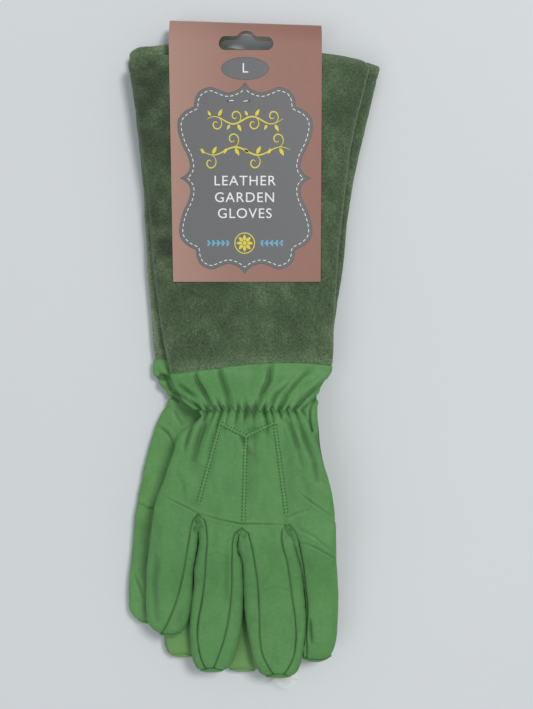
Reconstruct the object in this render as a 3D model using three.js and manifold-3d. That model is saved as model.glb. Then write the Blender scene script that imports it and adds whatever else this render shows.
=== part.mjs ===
// A pair of leather gauntlet gardening gloves, stacked palm to palm and stapled to a folded header card.
// Millimetres, +Z up. Fingers point to -Y, cuffs to +Y. The right-hand glove lies on top, its back up.
// The left-hand glove lies under it, palm up, turned a little clockwise.
import * as THREE from 'three';
import { mergeVertices } from 'three/addons/utils/BufferGeometryUtils.js';
import Module from 'manifold-3d';

const wasm = await Module();
wasm.setup();

// ---- Driving dimensions ----
const LEATHER = 1.2;            // goatskin wall
const SUEDE = 1.6;              // split-suede cuff wall
const CUFF_HALF = 4.2;          // half height of a flattened cuff
const HAND_HALF = 5.0;          // half height of a flattened hand or finger
const THUMB_HALF = 2.3;         // half height of a thumb folded flat between the palms
const GAP = 0.3;                // free space between touching pieces
const CUFF_TOP = 182;           // mouth of the cuff
const SEAM_Y = -7.5;            // seam between suede cuff and leather hand
const KNUCKLE_Y = -97.3;        // fold where the fingers leave the hand
const GATHER_Y = -32;           // elastic gather on the back of the wrist
const SEAM_SLIT = 1.5;          // half angle, in degrees, left open at a side seam
const PANEL_EDGE = 46.5;        // angle at which a finger's side strip meets its back or front panel

// Heights of the middles of the flattened tubes above the surface the pair lies on.
const LOWER_CUFF_Z = 5.8;
const UPPER_CUFF_Z = 14.5;
const LOWER_HAND_Z = HAND_HALF;
const UPPER_HAND_Z = 25.1;      // rides on both folded thumbs
const UPPER_TIP_Z = 16.0;       // the upper fingers come down on the lower ones
const THUMB_DROP = HAND_HALF + GAP + THUMB_HALF;

// The lower glove's place under the upper one.
const TURN = THREE.MathUtils.degToRad(2.5);
const TURN_PIVOT_Y = 140;
const LOWER_SHIFT_Y = 2;
const FINGER_REACH = 95;        // length over which a finger's sideways fan is measured

// Header card, folded over the cuffs.
const CARD_WIDTH = 91.6;
const CARD_THICK = 0.5;
const CARD_MID_X = -6;
const CARD_LOW_Y = 44;
const CARD_BEND_Y = 186;
const CARD_FOLD_Y = 201;
const CARD_BACK_Z = 1.0;        // middle of the back flap
const CARD_FRONT_Z = 19.3;      // middle of the front flap
const CARD_FOLD_Z = 10;
const SLOT_Y = 187;             // hanging slot
const SLOT_WIDTH = 32.8;
const SLOT_HEIGHT = 7.7;
const SLOT_BUMP = 4.1;

const STAPLE_WIRE = 0.5;
const STAPLE_CROWN = 12.4;
const STAPLE_X = -10;
const STAPLE_Y = 152.5;
const STAPLE_CLINCH = 3.4;

const SEAL_RADIUS = 7.5;
const SEAL_THICK = 0.3;
const SEAL_CENTRE = new THREE.Vector2(18.8, -195.6);

// ---- Helpers ----
const smooth = (from, to, y) => THREE.MathUtils.smoothstep(-y, -from, -to);

// A curve through [y, x] points, listed from the top down.
function edge(points) {
  const ys = points.map(([y]) => y);
  const tangent = (i) => {
    const a = points[Math.max(i - 1, 0)];
    const b = points[Math.min(i + 1, points.length - 1)];
    return (b[1] - a[1]) / (b[0] - a[0]);
  };
  return (y) => {
    let i = ys.findIndex((level) => level <= y);
    i = i < 0 ? points.length - 1 : Math.max(i, 1);
    const [y0, x0] = points[i - 1];
    const [y1, x1] = points[i];
    const span = y1 - y0;
    const t = THREE.MathUtils.clamp((y - y0) / span, 0, 1);
    const bend = (tangent(i - 1) * (1 - t) - tangent(i) * t) * span * t * (1 - t);
    const line = ((x1 - x0) * t * t * (3 - 2 * t)) + x0;
    return line + bend;
  };
}

function steps(from, to, count) {
  return Array.from({ length: count + 1 }, (_, i) => from + ((to - from) * i) / count);
}

// Places along a tube that ends in a round tip, closer together where it rounds off.
function tipSteps(from, tip, rounding) {
  const straight = steps(from, tip + rounding, 4);
  const round = [0.55, 0.87, 0.995].map((part) => tip + rounding * (1 - part));
  return [...straight, ...round];
}

// One point of a flattened tube: angle 0 is +X, 90 is the back of the glove.
function ringPoint(tube, y, degrees, inset) {
  const angle = THREE.MathUtils.degToRad(degrees);
  const tip = tube.tip ?? -Infinity;
  const into = THREE.MathUtils.clamp((tip + tube.rounding - y) / tube.rounding, 0, 1);
  const narrow = Number.isFinite(tip) ? Math.sqrt(1 - into * into) : 1;
  const shrink = Math.max(inset === 0 ? 0.16 : 0.06, narrow);
  const half = (tube.right(y) - tube.left(y)) / 2;
  const wide = Math.max(half * shrink - inset, 0.3);
  const flat = Math.max(tube.half(y) * shrink - inset, 0.25);
  const power = 2 / tube.power;
  const side = Math.sign(Math.cos(angle)) * Math.abs(Math.cos(angle)) ** power;
  const rise = Math.sign(Math.sin(angle)) * Math.abs(Math.sin(angle)) ** power;
  const middle = (tube.right(y) + tube.left(y)) / 2 + (tube.fan?.(y) ?? 0);
  const z = THREE.MathUtils.clamp(rise * flat * 1.1, -flat, flat);
  return new THREE.Vector3(middle + side * wide, y, tube.middle(y) + tube.backSign * z);
}

// A closed piece of a tube's wall between two angles.
function wall(tube, { places, from, to, around, thickness, inset = 0 }) {
  const angles = steps(from, to, around);
  const skins = [inset, inset + thickness].map((depth) => places.map(
    (y) => angles.map((degrees) => ringPoint(tube, y, degrees, depth)),
  ));
  const vertices = skins.flat(2).flatMap((point) => point.toArray());
  const rows = places.length;
  const columns = angles.length;
  const id = (skin, row, column) => (skin * rows + row) * columns + column;
  const index = [];
  const quad = (a, b, c, d) => index.push(a, b, c, a, c, d);
  for (let row = 0; row < rows - 1; row += 1) {
    for (let column = 0; column < columns - 1; column += 1) {
      quad(id(0, row, column), id(0, row + 1, column), id(0, row + 1, column + 1), id(0, row, column + 1));
      quad(id(1, row, column), id(1, row, column + 1), id(1, row + 1, column + 1), id(1, row + 1, column));
    }
    const last = columns - 1;
    quad(id(0, row, 0), id(1, row, 0), id(1, row + 1, 0), id(0, row + 1, 0));
    quad(id(0, row, last), id(0, row + 1, last), id(1, row + 1, last), id(1, row, last));
  }
  for (let column = 0; column < columns - 1; column += 1) {
    const low = rows - 1;
    quad(id(0, 0, column), id(0, 0, column + 1), id(1, 0, column + 1), id(1, 0, column));
    quad(id(0, low, column), id(1, low, column), id(1, low, column + 1), id(0, low, column + 1));
  }
  return outward(vertices, index);
}

// The faces of a closed mesh, turned to point out.
function outward(vertices, index) {
  const geometry = new THREE.BufferGeometry();
  geometry.setAttribute('position', new THREE.Float32BufferAttribute(vertices, 3));
  const corner = [new THREE.Vector3(), new THREE.Vector3(), new THREE.Vector3()];
  let volume = 0;
  for (let i = 0; i < index.length; i += 3) {
    corner.forEach((point, k) => point.fromArray(vertices, index[i + k] * 3));
    volume += corner[0].dot(corner[1].clone().cross(corner[2]));
  }
  geometry.setIndex(volume < 0 ? index.slice().reverse() : index);
  geometry.computeVertexNormals();
  return geometry;
}

function toSolid(geometry) {
  const bare = geometry.clone();
  bare.deleteAttribute('normal');
  bare.deleteAttribute('uv');
  const merged = mergeVertices(bare, 1e-4);
  return new wasm.Manifold(new wasm.Mesh({
    numProp: 3,
    vertProperties: new Float32Array(merged.attributes.position.array),
    triVerts: new Uint32Array(merged.index.array),
  }));
}

function fromSolid(solid) {
  const { vertProperties, triVerts } = solid.getMesh();
  const geometry = new THREE.BufferGeometry();
  geometry.setAttribute('position', new THREE.BufferAttribute(vertProperties, 3));
  geometry.setIndex(new THREE.BufferAttribute(triVerts, 1));
  geometry.computeVertexNormals();
  return geometry;
}

const cut = (geometry, tools) => fromSolid(
  tools.reduce((solid, tool) => solid.subtract(toSolid(tool)), toSolid(geometry)),
);

function box(width, depth, height, x, y, z) {
  return new THREE.BoxGeometry(width, depth, height).translate(x, y, z);
}

// ---- Materials ----
const leather = new THREE.MeshStandardMaterial({ color: 0x58914f, roughness: 0.6 });
const leatherSide = new THREE.MeshStandardMaterial({ color: 0x4f8548, roughness: 0.6 });
const suede = new THREE.MeshStandardMaterial({ color: 0x506448, roughness: 0.95 });
const thread = new THREE.MeshStandardMaterial({ color: 0x2f6133, roughness: 0.8 });
const elastic = new THREE.MeshStandardMaterial({ color: 0xe8e4d8, roughness: 0.9 });
const card = new THREE.MeshStandardMaterial({ color: 0xa07c72, roughness: 0.7 });
const steel = new THREE.MeshStandardMaterial({ color: 0xb8bcc0, roughness: 0.3, metalness: 1 });
const clearFilm = new THREE.MeshStandardMaterial({ color: 0xe9ecee, roughness: 0.2 });

// ---- Outlines of the two gloves, as x at a height y ----
const upperShape = {
  cuffTop: CUFF_TOP,
  fan: { little: 0, ring: 0, middle: 0, index: 0 },
  cuffLeft: edge([[CUFF_TOP, -77], [141, -71.4], [99, -65.4], [43.5, -60.4], [10, -56.2], [-10, -52.4]]),
  cuffRight: edge([[CUFF_TOP, 70], [141, 61.2], [112, 56], [79, 52.6], [45, 49.3], [-10, 46.8]]),
  handLeft: edge([[-6, -53], [-16, -50], [-27, -40], [-36, -33], [-45, -40], [-57, -46.6], [-79, -53],
    [-98, -60.2]]),
  handRight: edge([[-6, 46.8], [-16, 42], [-25, 37.4], [-42, 37.9], [-60, 40.2], [-77, 44.3], [-98, 48]]),
};

const lowerShape = {
  cuffTop: CUFF_TOP - 2,
  fan: { little: 0, ring: -1.5, middle: -4, index: -4 },
  cuffLeft: edge([[CUFF_TOP, -79], [99, -67.5], [43.5, -62], [-10, -54.8]]),
  cuffRight: edge([[CUFF_TOP, 75.5], [141, 68], [99, 60.5], [43.5, 56.6], [-10, 50]]),
  handLeft: edge([[-6, -54.8], [-20, -45.5], [-28, -45], [-45, -50], [-69, -56], [-98, -60.2]]),
  handRight: edge([[-6, 50], [-25, 41], [-42, 39.9], [-77, 44.3], [-98, 48]]),
};

const fingers = {
  little: {
    left: edge([[-98, -60], [-125, -64.2], [-150, -65.2], [-168, -66]]),
    right: edge([[-98, -34.6], [-108, -35.2], [-125, -37.3], [-150, -39], [-168, -43.5]]),
    tip: -167.8,
    rounding: 13,
    strips: ['right'],
  },
  ring: {
    left: edge([[-98, -33], [-108, -33.6], [-125, -35.7], [-150, -37.4], [-172, -39], [-190, -40]]),
    right: edge([[-98, -8.9], [-128, -8], [-150, -7.9], [-170, -9.4], [-190, -13.5]]),
    tip: -189.9,
    rounding: 14,
    strips: ['left', 'right'],
  },
  middle: {
    left: edge([[-98, -7.6], [-128, -6.7], [-150, -6.1], [-171, -4.2], [-193, -1.5]]),
    right: edge([[-98, 19], [-108, 20.4], [-128, 26.4], [-150, 29.2], [-171, 29], [-193, 28.4]]),
    tip: -193.2,
    rounding: 11,
    strips: ['left', 'right'],
  },
  index: {
    left: edge([[-98, 20.8], [-108, 22.2], [-128, 28.6], [-150, 31.2], [-171, 31], [-183, 31]]),
    right: edge([[-98, 47.8], [-120, 48.7], [-147, 50], [-172, 49.4], [-183, 48.4]]),
    tip: -183.4,
    rounding: 10,
    strips: ['left'],
  },
};

const thumb = {
  left: edge([[-43, 12], [-60, 9], [-108, 4]]),
  right: edge([[-43, 35], [-60, 36], [-108, 28]]),
  tip: -108,
  rounding: 12,
};

// ---- One glove ----
function glove({ side, shape, backSign, cuffZ, handZ, tipZ, cuffHoles, pointStitching }) {
  const group = new THREE.Group();
  const add = (name, geometry, material) => {
    const mesh = new THREE.Mesh(geometry, material);
    mesh.name = `${side}_${name}`;
    group.add(mesh);
  };
  const handMiddle = (y) => THREE.MathUtils.lerp(cuffZ, handZ, smooth(-9, -40, y));
  const fingerMiddle = (y) => THREE.MathUtils.lerp(handZ, tipZ, smooth(-110, -150, y));
  const handHalf = (y) => THREE.MathUtils.lerp(CUFF_HALF, HAND_HALF, smooth(-9, -40, y));

  const cuff = {
    left: shape.cuffLeft,
    right: shape.cuffRight,
    half: () => CUFF_HALF,
    middle: () => cuffZ,
    power: 4,
    backSign,
  };
  const hand = {
    left: shape.handLeft,
    right: shape.handRight,
    half: handHalf,
    middle: handMiddle,
    power: 3,
    backSign,
  };

  const cuffPlaces = steps(shape.cuffTop, SEAM_Y + GAP, 5);
  const handPlaces = [SEAM_Y - GAP, -14, -20, -26, -31, -36, -41, -53, -72, KNUCKLE_Y + 0.7];
  const halves = [['back', 0], ['palm', 180]];
  halves.forEach(([name, start]) => {
    const span = { from: start + SEAM_SLIT, to: start + 180 - SEAM_SLIT };
    const sheet = wall(cuff, { places: cuffPlaces, ...span, around: 8, thickness: SUEDE });
    add(`cuff_${name}_panel`, cut(sheet, cuffHoles), suede);
    const panel = wall(hand, { places: handPlaces, ...span, around: 10, thickness: LEATHER });
    add(name === 'back' ? 'back_of_hand' : 'palm', panel, leather);
  });
  add('wrist_elastic', wall(hand, {
    places: [GATHER_Y + 3, GATHER_Y, GATHER_Y - 3],
    from: 42,
    to: 138,
    around: 6,
    thickness: 0.8,
    inset: LEATHER + GAP,
  }), elastic);

  Object.entries(fingers).forEach(([name, outline]) => {
    const fan = (y) => (shape.fan[name] * (KNUCKLE_Y - y)) / FINGER_REACH;
    const finger = { ...outline, fan, half: () => HAND_HALF, middle: fingerMiddle, power: 2.4, backSign };
    const places = tipSteps(KNUCKLE_Y - 0.7, outline.tip, outline.rounding);
    const slit = SEAM_SLIT;
    const backFrom = outline.strips.includes('right') ? PANEL_EDGE + slit : slit;
    const backTo = outline.strips.includes('left') ? 180 - PANEL_EDGE - slit : 180 - slit;
    const piece = { places, thickness: LEATHER };
    add(`${name}_finger_back`, wall(finger, { ...piece, from: backFrom, to: backTo, around: 5 }), leather);
    add(`${name}_finger_front`, wall(finger, { ...piece, from: -backTo, to: -backFrom, around: 5 }), leather);
    outline.strips.forEach((edgeName) => {
      const middle = edgeName === 'right' ? 0 : 180;
      const reach = PANEL_EDGE - slit;
      const strip = { ...piece, from: middle - reach, to: middle + reach, around: 3 };
      add(`${name}_finger_${edgeName}_strip`, wall(finger, strip), leatherSide);
    });
  });

  const thumbTube = {
    ...thumb,
    half: () => THUMB_HALF,
    middle: () => handZ - backSign * THUMB_DROP,
    power: 2.6,
    backSign,
  };
  const thumbPlaces = tipSteps(-43, thumb.tip, thumb.rounding);
  [['back', 0], ['front', 180]].forEach(([name, start]) => {
    add(`thumb_${name}`, wall(thumbTube, {
      places: thumbPlaces,
      from: start + SEAM_SLIT * 2,
      to: start + 180 - SEAM_SLIT * 2,
      around: 6,
      thickness: LEATHER,
    }), leather);
  });

  if (pointStitching) {
    add('points_stitching', pointRows(handZ + HAND_HALF + GAP), thread);
  }
  return group;
}

// Three rows of stitching on the back of the hand, joined at their tops by a V.
function pointRows(z) {
  const tops = [[-20.4, -41], [-5.3, -48], [11.7, -41]];
  const ends = [[-33.3, -87], [-6.7, -95], [18.6, -93]];
  const rows = [
    ...tops.map((top, i) => [top, ends[i]]),
    [tops[0], tops[1]],
    [tops[1], tops[2]],
  ];
  const bars = rows.map(([[x0, y0], [x1, y1]]) => {
    const length = Math.hypot(x1 - x0, y1 - y0) + 1.6;
    const bar = new THREE.BoxGeometry(length, 2.2, 0.5);
    bar.rotateZ(Math.atan2(y1 - y0, x1 - x0));
    return toSolid(bar.translate((x0 + x1) / 2, (y0 + y1) / 2, z + 0.25));
  });
  return fromSolid(bars.reduce((joined, bar) => joined.add(bar)));
}

// ---- Header card, staple and seal ----
const legXs = [STAPLE_X - STAPLE_CROWN / 2, STAPLE_X + STAPLE_CROWN / 2];
const legHoles = legXs.map((x) => box(1.3, 1.3, 60, x, STAPLE_Y, 10));

function headerCard() {
  const middle = [
    [CARD_LOW_Y, CARD_FRONT_Z], [CARD_BEND_Y - 1, CARD_FRONT_Z], [CARD_BEND_Y + 2, CARD_FRONT_Z - 1],
    [CARD_FOLD_Y - 2, CARD_FOLD_Z + 2.2], [CARD_FOLD_Y, CARD_FOLD_Z + 0.6], [CARD_FOLD_Y, CARD_FOLD_Z - 0.6],
    [CARD_FOLD_Y - 2, CARD_FOLD_Z - 2.2], [CARD_BEND_Y + 2, CARD_BACK_Z + 1], [CARD_BEND_Y - 1, CARD_BACK_Z],
    [CARD_LOW_Y, CARD_BACK_Z],
  ].map(([y, z]) => new THREE.Vector2(y, z));
  const sideways = (i) => {
    const along = middle[Math.min(i + 1, middle.length - 1)].clone().sub(middle[Math.max(i - 1, 0)]);
    return new THREE.Vector2(-along.y, along.x).normalize().multiplyScalar(CARD_THICK / 2);
  };
  const outer = middle.map((point, i) => point.clone().add(sideways(i)));
  const inner = middle.map((point, i) => point.clone().sub(sideways(i))).reverse();
  const profile = new THREE.Shape([...outer, ...inner]);
  const sheet = new THREE.ExtrudeGeometry(profile, { depth: CARD_WIDTH, bevelEnabled: false });
  sheet.applyMatrix4(new THREE.Matrix4().makeBasis(
    new THREE.Vector3(0, 1, 0), new THREE.Vector3(0, 0, 1), new THREE.Vector3(1, 0, 0),
  ));
  sheet.translate(CARD_MID_X - CARD_WIDTH / 2, 0, 0);
  return cut(sheet, [hangingSlot(), ...legHoles]);
}

// A long slot with round ends and a round bump in the middle of its upper side, as shop hooks need.
function hangingSlot() {
  const reach = SLOT_WIDTH / 2 - SLOT_HEIGHT / 2;
  const outline = new THREE.Shape();
  outline.absarc(-reach, 0, SLOT_HEIGHT / 2, Math.PI / 2, (3 * Math.PI) / 2);
  outline.absarc(reach, 0, SLOT_HEIGHT / 2, -Math.PI / 2, Math.PI / 2);
  outline.lineTo(SLOT_BUMP, SLOT_HEIGHT / 2);
  outline.absarc(0, SLOT_HEIGHT / 2 - 0.6, SLOT_BUMP, 0.15, Math.PI - 0.15);
  const tool = new THREE.ExtrudeGeometry(outline, { depth: 40, bevelEnabled: false, curveSegments: 6 });
  return tool.translate(CARD_MID_X + 0.6, SLOT_Y, -10);
}

function staple() {
  const low = CARD_BACK_Z - CARD_THICK / 2 - GAP - STAPLE_WIRE / 2 + 0.05;
  const high = CARD_FRONT_Z + CARD_THICK / 2 + GAP + STAPLE_WIRE / 2;
  const wire = STAPLE_WIRE;
  const crown = box(STAPLE_CROWN + wire, wire, wire, STAPLE_X, STAPLE_Y, low);
  const legs = legXs.map((x) => box(wire, wire, high - low + wire, x, STAPLE_Y, (high + low) / 2));
  const clinches = legXs.map((x, i) => {
    const inward = i === 0 ? 1 : -1;
    return box(STAPLE_CLINCH, wire, wire, x + inward * (STAPLE_CLINCH - wire) / 2, STAPLE_Y, high);
  });
  return fromSolid([crown, ...legs, ...clinches].map(toSolid).reduce((joined, bar) => joined.add(bar)));
}

function seal() {
  const disc = new THREE.CylinderGeometry(SEAL_RADIUS, SEAL_RADIUS, SEAL_THICK, 32);
  return disc.rotateX(Math.PI / 2).translate(SEAL_CENTRE.x, SEAL_CENTRE.y, 2 * HAND_HALF + GAP + SEAL_THICK / 2);
}

// ---- Assembly ----
const pair = new THREE.Group();
const lower = glove({
  side: 'left',
  shape: lowerShape,
  backSign: -1,
  cuffZ: LOWER_CUFF_Z,
  handZ: LOWER_HAND_Z,
  tipZ: LOWER_HAND_Z,
  cuffHoles: legHoles.map((hole) => hole.clone()
    .translate(TURN_PIVOT_Y * Math.sin(TURN), -TURN_PIVOT_Y * (1 - Math.cos(TURN)) - LOWER_SHIFT_Y, 0)
    .rotateZ(TURN)),
});
lower.rotation.z = -TURN;
lower.position.set(-TURN_PIVOT_Y * Math.sin(TURN), TURN_PIVOT_Y * (1 - Math.cos(TURN)) + LOWER_SHIFT_Y, 0);
pair.add(lower);
pair.add(glove({
  side: 'right',
  shape: upperShape,
  backSign: 1,
  cuffZ: UPPER_CUFF_Z,
  handZ: UPPER_HAND_Z,
  tipZ: UPPER_TIP_Z,
  cuffHoles: legHoles,
  pointStitching: true,
}));

[['header_card', headerCard(), card], ['staple', staple(), steel], ['clear_seal', seal(), clearFilm]]
  .forEach(([name, geometry, material]) => {
    const mesh = new THREE.Mesh(geometry, material);
    mesh.name = name;
    pair.add(mesh);
  });

// The origin is at the middle of the bottom of the whole pair.
pair.updateMatrixWorld(true);
const bounds = new THREE.Box3().setFromObject(pair, true);
pair.position.set(-(bounds.min.x + bounds.max.x) / 2, -(bounds.min.y + bounds.max.y) / 2, -bounds.min.z);

export default pair;
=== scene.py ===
"""A stacked pair of leather gauntlet gardening gloves, stapled to a folded header card.

Shapes are drawn in millimetres in the drawing frame of the gloves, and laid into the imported
model's frame through to_frame(). Fingers point to -Y, cuffs to +Y, and +Z is up.
"""
import math

import bmesh
import bpy
import numpy as np
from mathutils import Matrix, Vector
from mathutils.bvhtree import BVHTree
from mathutils.geometry import tessellate_polygon


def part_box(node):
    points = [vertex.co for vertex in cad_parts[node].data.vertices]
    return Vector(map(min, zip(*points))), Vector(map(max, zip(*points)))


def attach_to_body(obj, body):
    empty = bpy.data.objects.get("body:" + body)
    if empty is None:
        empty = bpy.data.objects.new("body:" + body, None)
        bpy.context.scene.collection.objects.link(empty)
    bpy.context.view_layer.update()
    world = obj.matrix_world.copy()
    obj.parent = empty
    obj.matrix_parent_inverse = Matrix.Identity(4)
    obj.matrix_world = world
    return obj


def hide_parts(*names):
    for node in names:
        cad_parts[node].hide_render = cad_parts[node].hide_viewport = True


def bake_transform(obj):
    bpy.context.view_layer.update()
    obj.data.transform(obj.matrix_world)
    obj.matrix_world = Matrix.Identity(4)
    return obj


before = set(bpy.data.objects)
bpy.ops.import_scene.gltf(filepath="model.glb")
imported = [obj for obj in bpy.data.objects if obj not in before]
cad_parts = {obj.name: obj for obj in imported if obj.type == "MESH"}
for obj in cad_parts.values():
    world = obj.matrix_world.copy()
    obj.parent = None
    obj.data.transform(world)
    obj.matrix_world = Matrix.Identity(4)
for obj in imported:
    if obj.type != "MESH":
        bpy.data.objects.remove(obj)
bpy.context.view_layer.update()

MM = 0.001
ROOT = "gloves_and_card"
HAND = "right_hand"
FINGERS = ("little", "ring", "middle", "index")

# The card gives the drawing frame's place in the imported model.
CARD_MID_X = -6.0
CARD_LOW_Y = 44.0
card_low, card_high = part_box("header_card")
ORIGIN = np.array([
    (card_low.x + card_high.x) / 2 - CARD_MID_X * MM,
    card_low.y - CARD_LOW_Y * MM,
    0.0,
])

# Thicknesses and heights, in millimetres.
LEATHER = 1.1
SUEDE = 1.6
CUFF_HALF = 4.2
HAND_HALF = 5.0
THUMB_HALF = 2.3
GATHER_Y = -32.0
KNUCKLE_Y = -97.3
TURN = math.radians(2.5)
TURN_PIVOT_Y = 140.0
LOWER_SHIFT_Y = 2.0
CARD_GAP = 0.15
UPPER_BOTTOM_Z = 10.1
LOWER_TOP_Z = 10.0

# The header card: a sheet folded over the cuffs.
CARD_LEFT = -51.8
CARD_RIGHT = 40.2
CARD_THICK = 0.5
CARD_BACK_Z = 1.0
CARD_FRONT_Z = 19.3
CARD_BEND_Y = 186.0
BEND_LONG = 16.0
BEND_HIGH = (CARD_FRONT_Z - CARD_BACK_Z) / 2
BEND_ARC = math.pi * math.sqrt((BEND_LONG ** 2 + BEND_HIGH ** 2) / 2)
FOLD_SLANT = 0.034
TAPER = {"left": 2.6, "right": 0.8}
SLOT_X, SLOT_Y = -5.4, 187.0
SLOT_LONG, SLOT_WIDE = 32.8, 7.7
BACK_SLOT_RISE = 2.4
INK = 0.05
INK_SINK = 0.01     # how far the lowest ink reaches into the board


def to_frame(points):
    """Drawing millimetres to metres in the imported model's frame."""
    return np.asarray(points, float) * MM + ORIGIN


# ---------------------------------------------------------------- curves and noise

def profile(*points):
    """A smooth curve through (place, value) points, constant past its ends."""
    places, values = np.array(sorted(points), float).T
    slopes = np.gradient(values, places)

    def value(place):
        place = np.clip(np.asarray(place, float), places[0], places[-1])
        i = np.clip(np.searchsorted(places, place) - 1, 0, len(places) - 2)
        span = places[i + 1] - places[i]
        t = (place - places[i]) / span
        start = (1 + 2 * t) * (1 - t) ** 2 * values[i] + t * (1 - t) ** 2 * span * slopes[i]
        end = t * t * (3 - 2 * t) * values[i + 1] + t * t * (t - 1) * span * slopes[i + 1]
        return start + end

    return value


def smooth(low, high, x):
    t = np.clip((x - low) / (high - low), 0, 1)
    return t * t * (3 - 2 * t)


def mix(a, b, t):
    return a + (b - a) * t


def noise(x, y, size, seed):
    """Smooth value noise from -1 to 1 with features of about `size` millimetres."""
    lattice = np.random.default_rng(seed).uniform(-1, 1, (256, 256))
    u = np.asarray(x, float) / size + 97.3
    v = np.asarray(y, float) / size + 51.7
    i, j = np.floor(u).astype(int), np.floor(v).astype(int)
    s, t = u - i, v - j
    s, t = s * s * (3 - 2 * s), t * t * (3 - 2 * t)
    corner = lambda a, b: lattice[(i + a) % 256, (j + b) % 256]
    return mix(mix(corner(0, 0), corner(1, 0), s), mix(corner(0, 1), corner(1, 1), s), t)


def distance_to(x, y, path):
    """Distance in the plan from each point to a polyline, how far along it from 0 to 1, and its side."""
    path = np.array(path, float)
    best = np.full(np.shape(x), 1e9)
    along = np.zeros(np.shape(x))
    side = np.ones(np.shape(x))
    lengths = np.hypot(*np.diff(path, axis=0).T)
    done = 0.0
    for (ax, ay), (bx, by), length in zip(path[:-1], path[1:], lengths):
        t = np.clip(((x - ax) * (bx - ax) + (y - ay) * (by - ay)) / length ** 2, 0, 1)
        d = np.hypot(x - ax - t * (bx - ax), y - ay - t * (by - ay))
        closer = d < best
        best = np.where(closer, d, best)
        along = np.where(closer, (done + t * length) / lengths.sum(), along)
        side = np.where(closer, np.sign((bx - ax) * (y - ay) - (by - ay) * (x - ax)), side)
        done += length
    return best, along, side


def fold(x, y, path, depth, width):
    """A pressed fold along a path: a narrow valley with a low swelling at each side."""
    d, along, _ = distance_to(x, y, path)
    fade = np.sin(np.pi * np.clip(along, 0.0, 1.0)) ** 0.5
    valley = -np.exp(-(d / width) ** 2)
    swelling = 0.45 * np.exp(-((d - 2.1 * width) / (1.3 * width)) ** 2)
    return depth * fade * (valley + swelling)


def crest(x, y, path, height, left_reach, right_reach):
    """A sharp-topped fold along a path, falling away over its own distance on each side."""
    d, along, side = distance_to(x, y, path)
    fade = np.sin(np.pi * np.clip(along, 0.0, 1.0)) ** 0.5
    round_top = np.sqrt(d ** 2 + 0.35 ** 2)
    standing = np.exp(-round_top / np.where(side > 0, left_reach, right_reach))
    hollow = np.where(side > 0, np.exp(-((d - 0.7 * left_reach) / (0.5 * left_reach)) ** 2), 0)
    return height * fade * (standing - 0.75 * hollow)


# ---------------------------------------------------------------- meshes

def quads(rows, columns):
    i = np.arange(rows * columns).reshape(rows, columns)
    return np.stack([i[:-1, :-1], i[1:, :-1], i[1:, 1:], i[:-1, 1:]], -1).reshape(-1, 4)


def link_mesh(mesh, *materials):
    """An object that shows the mesh in the given materials."""
    for material in materials:
        mesh.materials.append(material)
    obj = bpy.data.objects.new(mesh.name, mesh)
    bpy.context.scene.collection.objects.link(obj)
    return obj


def new_object(name, vertices, faces, material):
    """A smooth-shaded object from vertices in metres, with all its faces turned outwards."""
    mesh = bpy.data.meshes.new(name)
    mesh.from_pydata(np.asarray(vertices).tolist(), [], faces)
    mesh.shade_smooth()
    work = bmesh.new()
    work.from_mesh(mesh)
    bmesh.ops.recalc_face_normals(work, faces=work.faces)
    work.to_mesh(mesh)
    work.free()
    return link_mesh(mesh, material)


def mesh_of(curve):
    """The mesh of a text or a bevelled curve."""
    source = bpy.data.objects.new(curve.name + "_source", curve)
    bpy.context.scene.collection.objects.link(source)
    bpy.context.view_layer.update()
    mesh = bpy.data.meshes.new_from_object(source.evaluated_get(bpy.context.evaluated_depsgraph_get()))
    bpy.data.objects.remove(source)
    mesh.name = curve.name
    mesh.materials.clear()
    return mesh


def settle(obj, slot, *nodes):
    """Makes a piece ride the root body and stand for its CAD nodes."""
    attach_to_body(obj, ROOT)
    if nodes:
        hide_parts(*nodes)


def surface_normals(points, centre):
    """Unit normals of a grid of points, turned away from the centre line."""
    across = np.gradient(points, axis=1)
    down = np.gradient(points, axis=0)
    normal = np.cross(across, down)
    normal /= np.linalg.norm(normal, axis=2, keepdims=True) + 1e-9
    side = np.sign(np.sum(normal * (points - centre)))
    return normal * side


def shell(name, outer, centre, thickness, material, marks):
    """A closed panel with the grid `outer` as its outside and a wall of the given thickness."""
    normal = surface_normals(outer, centre)
    thickness = np.broadcast_to(np.asarray(thickness, float), outer.shape[:2])[..., None]
    inner = outer - normal * thickness
    rows, columns = outer.shape[:2]
    count = rows * columns
    face = quads(rows, columns)
    faces = [face, face[:, ::-1] + count]
    border = np.concatenate([
        np.arange(columns),
        np.arange(1, rows) * columns + columns - 1,
        (rows - 1) * columns + np.arange(columns - 2, -1, -1),
        np.arange(rows - 2, 0, -1) * columns,
    ])
    nxt = np.roll(border, -1)
    faces.append(np.stack([border, nxt, nxt + count, border + count], -1))
    vertices = to_frame(np.concatenate([outer.reshape(-1, 3), inner.reshape(-1, 3)]))
    obj = new_object(name, vertices, np.concatenate(faces).tolist(), material)
    obj.data.set_sharp_from_angle(angle=math.radians(55))
    for mark, grid in marks.items():
        layer = obj.data.attributes.new(mark, "FLOAT", "POINT")
        layer.data.foreach_set("value", np.concatenate([grid.ravel(), grid.ravel()]).astype(np.float32))
    return obj


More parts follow.
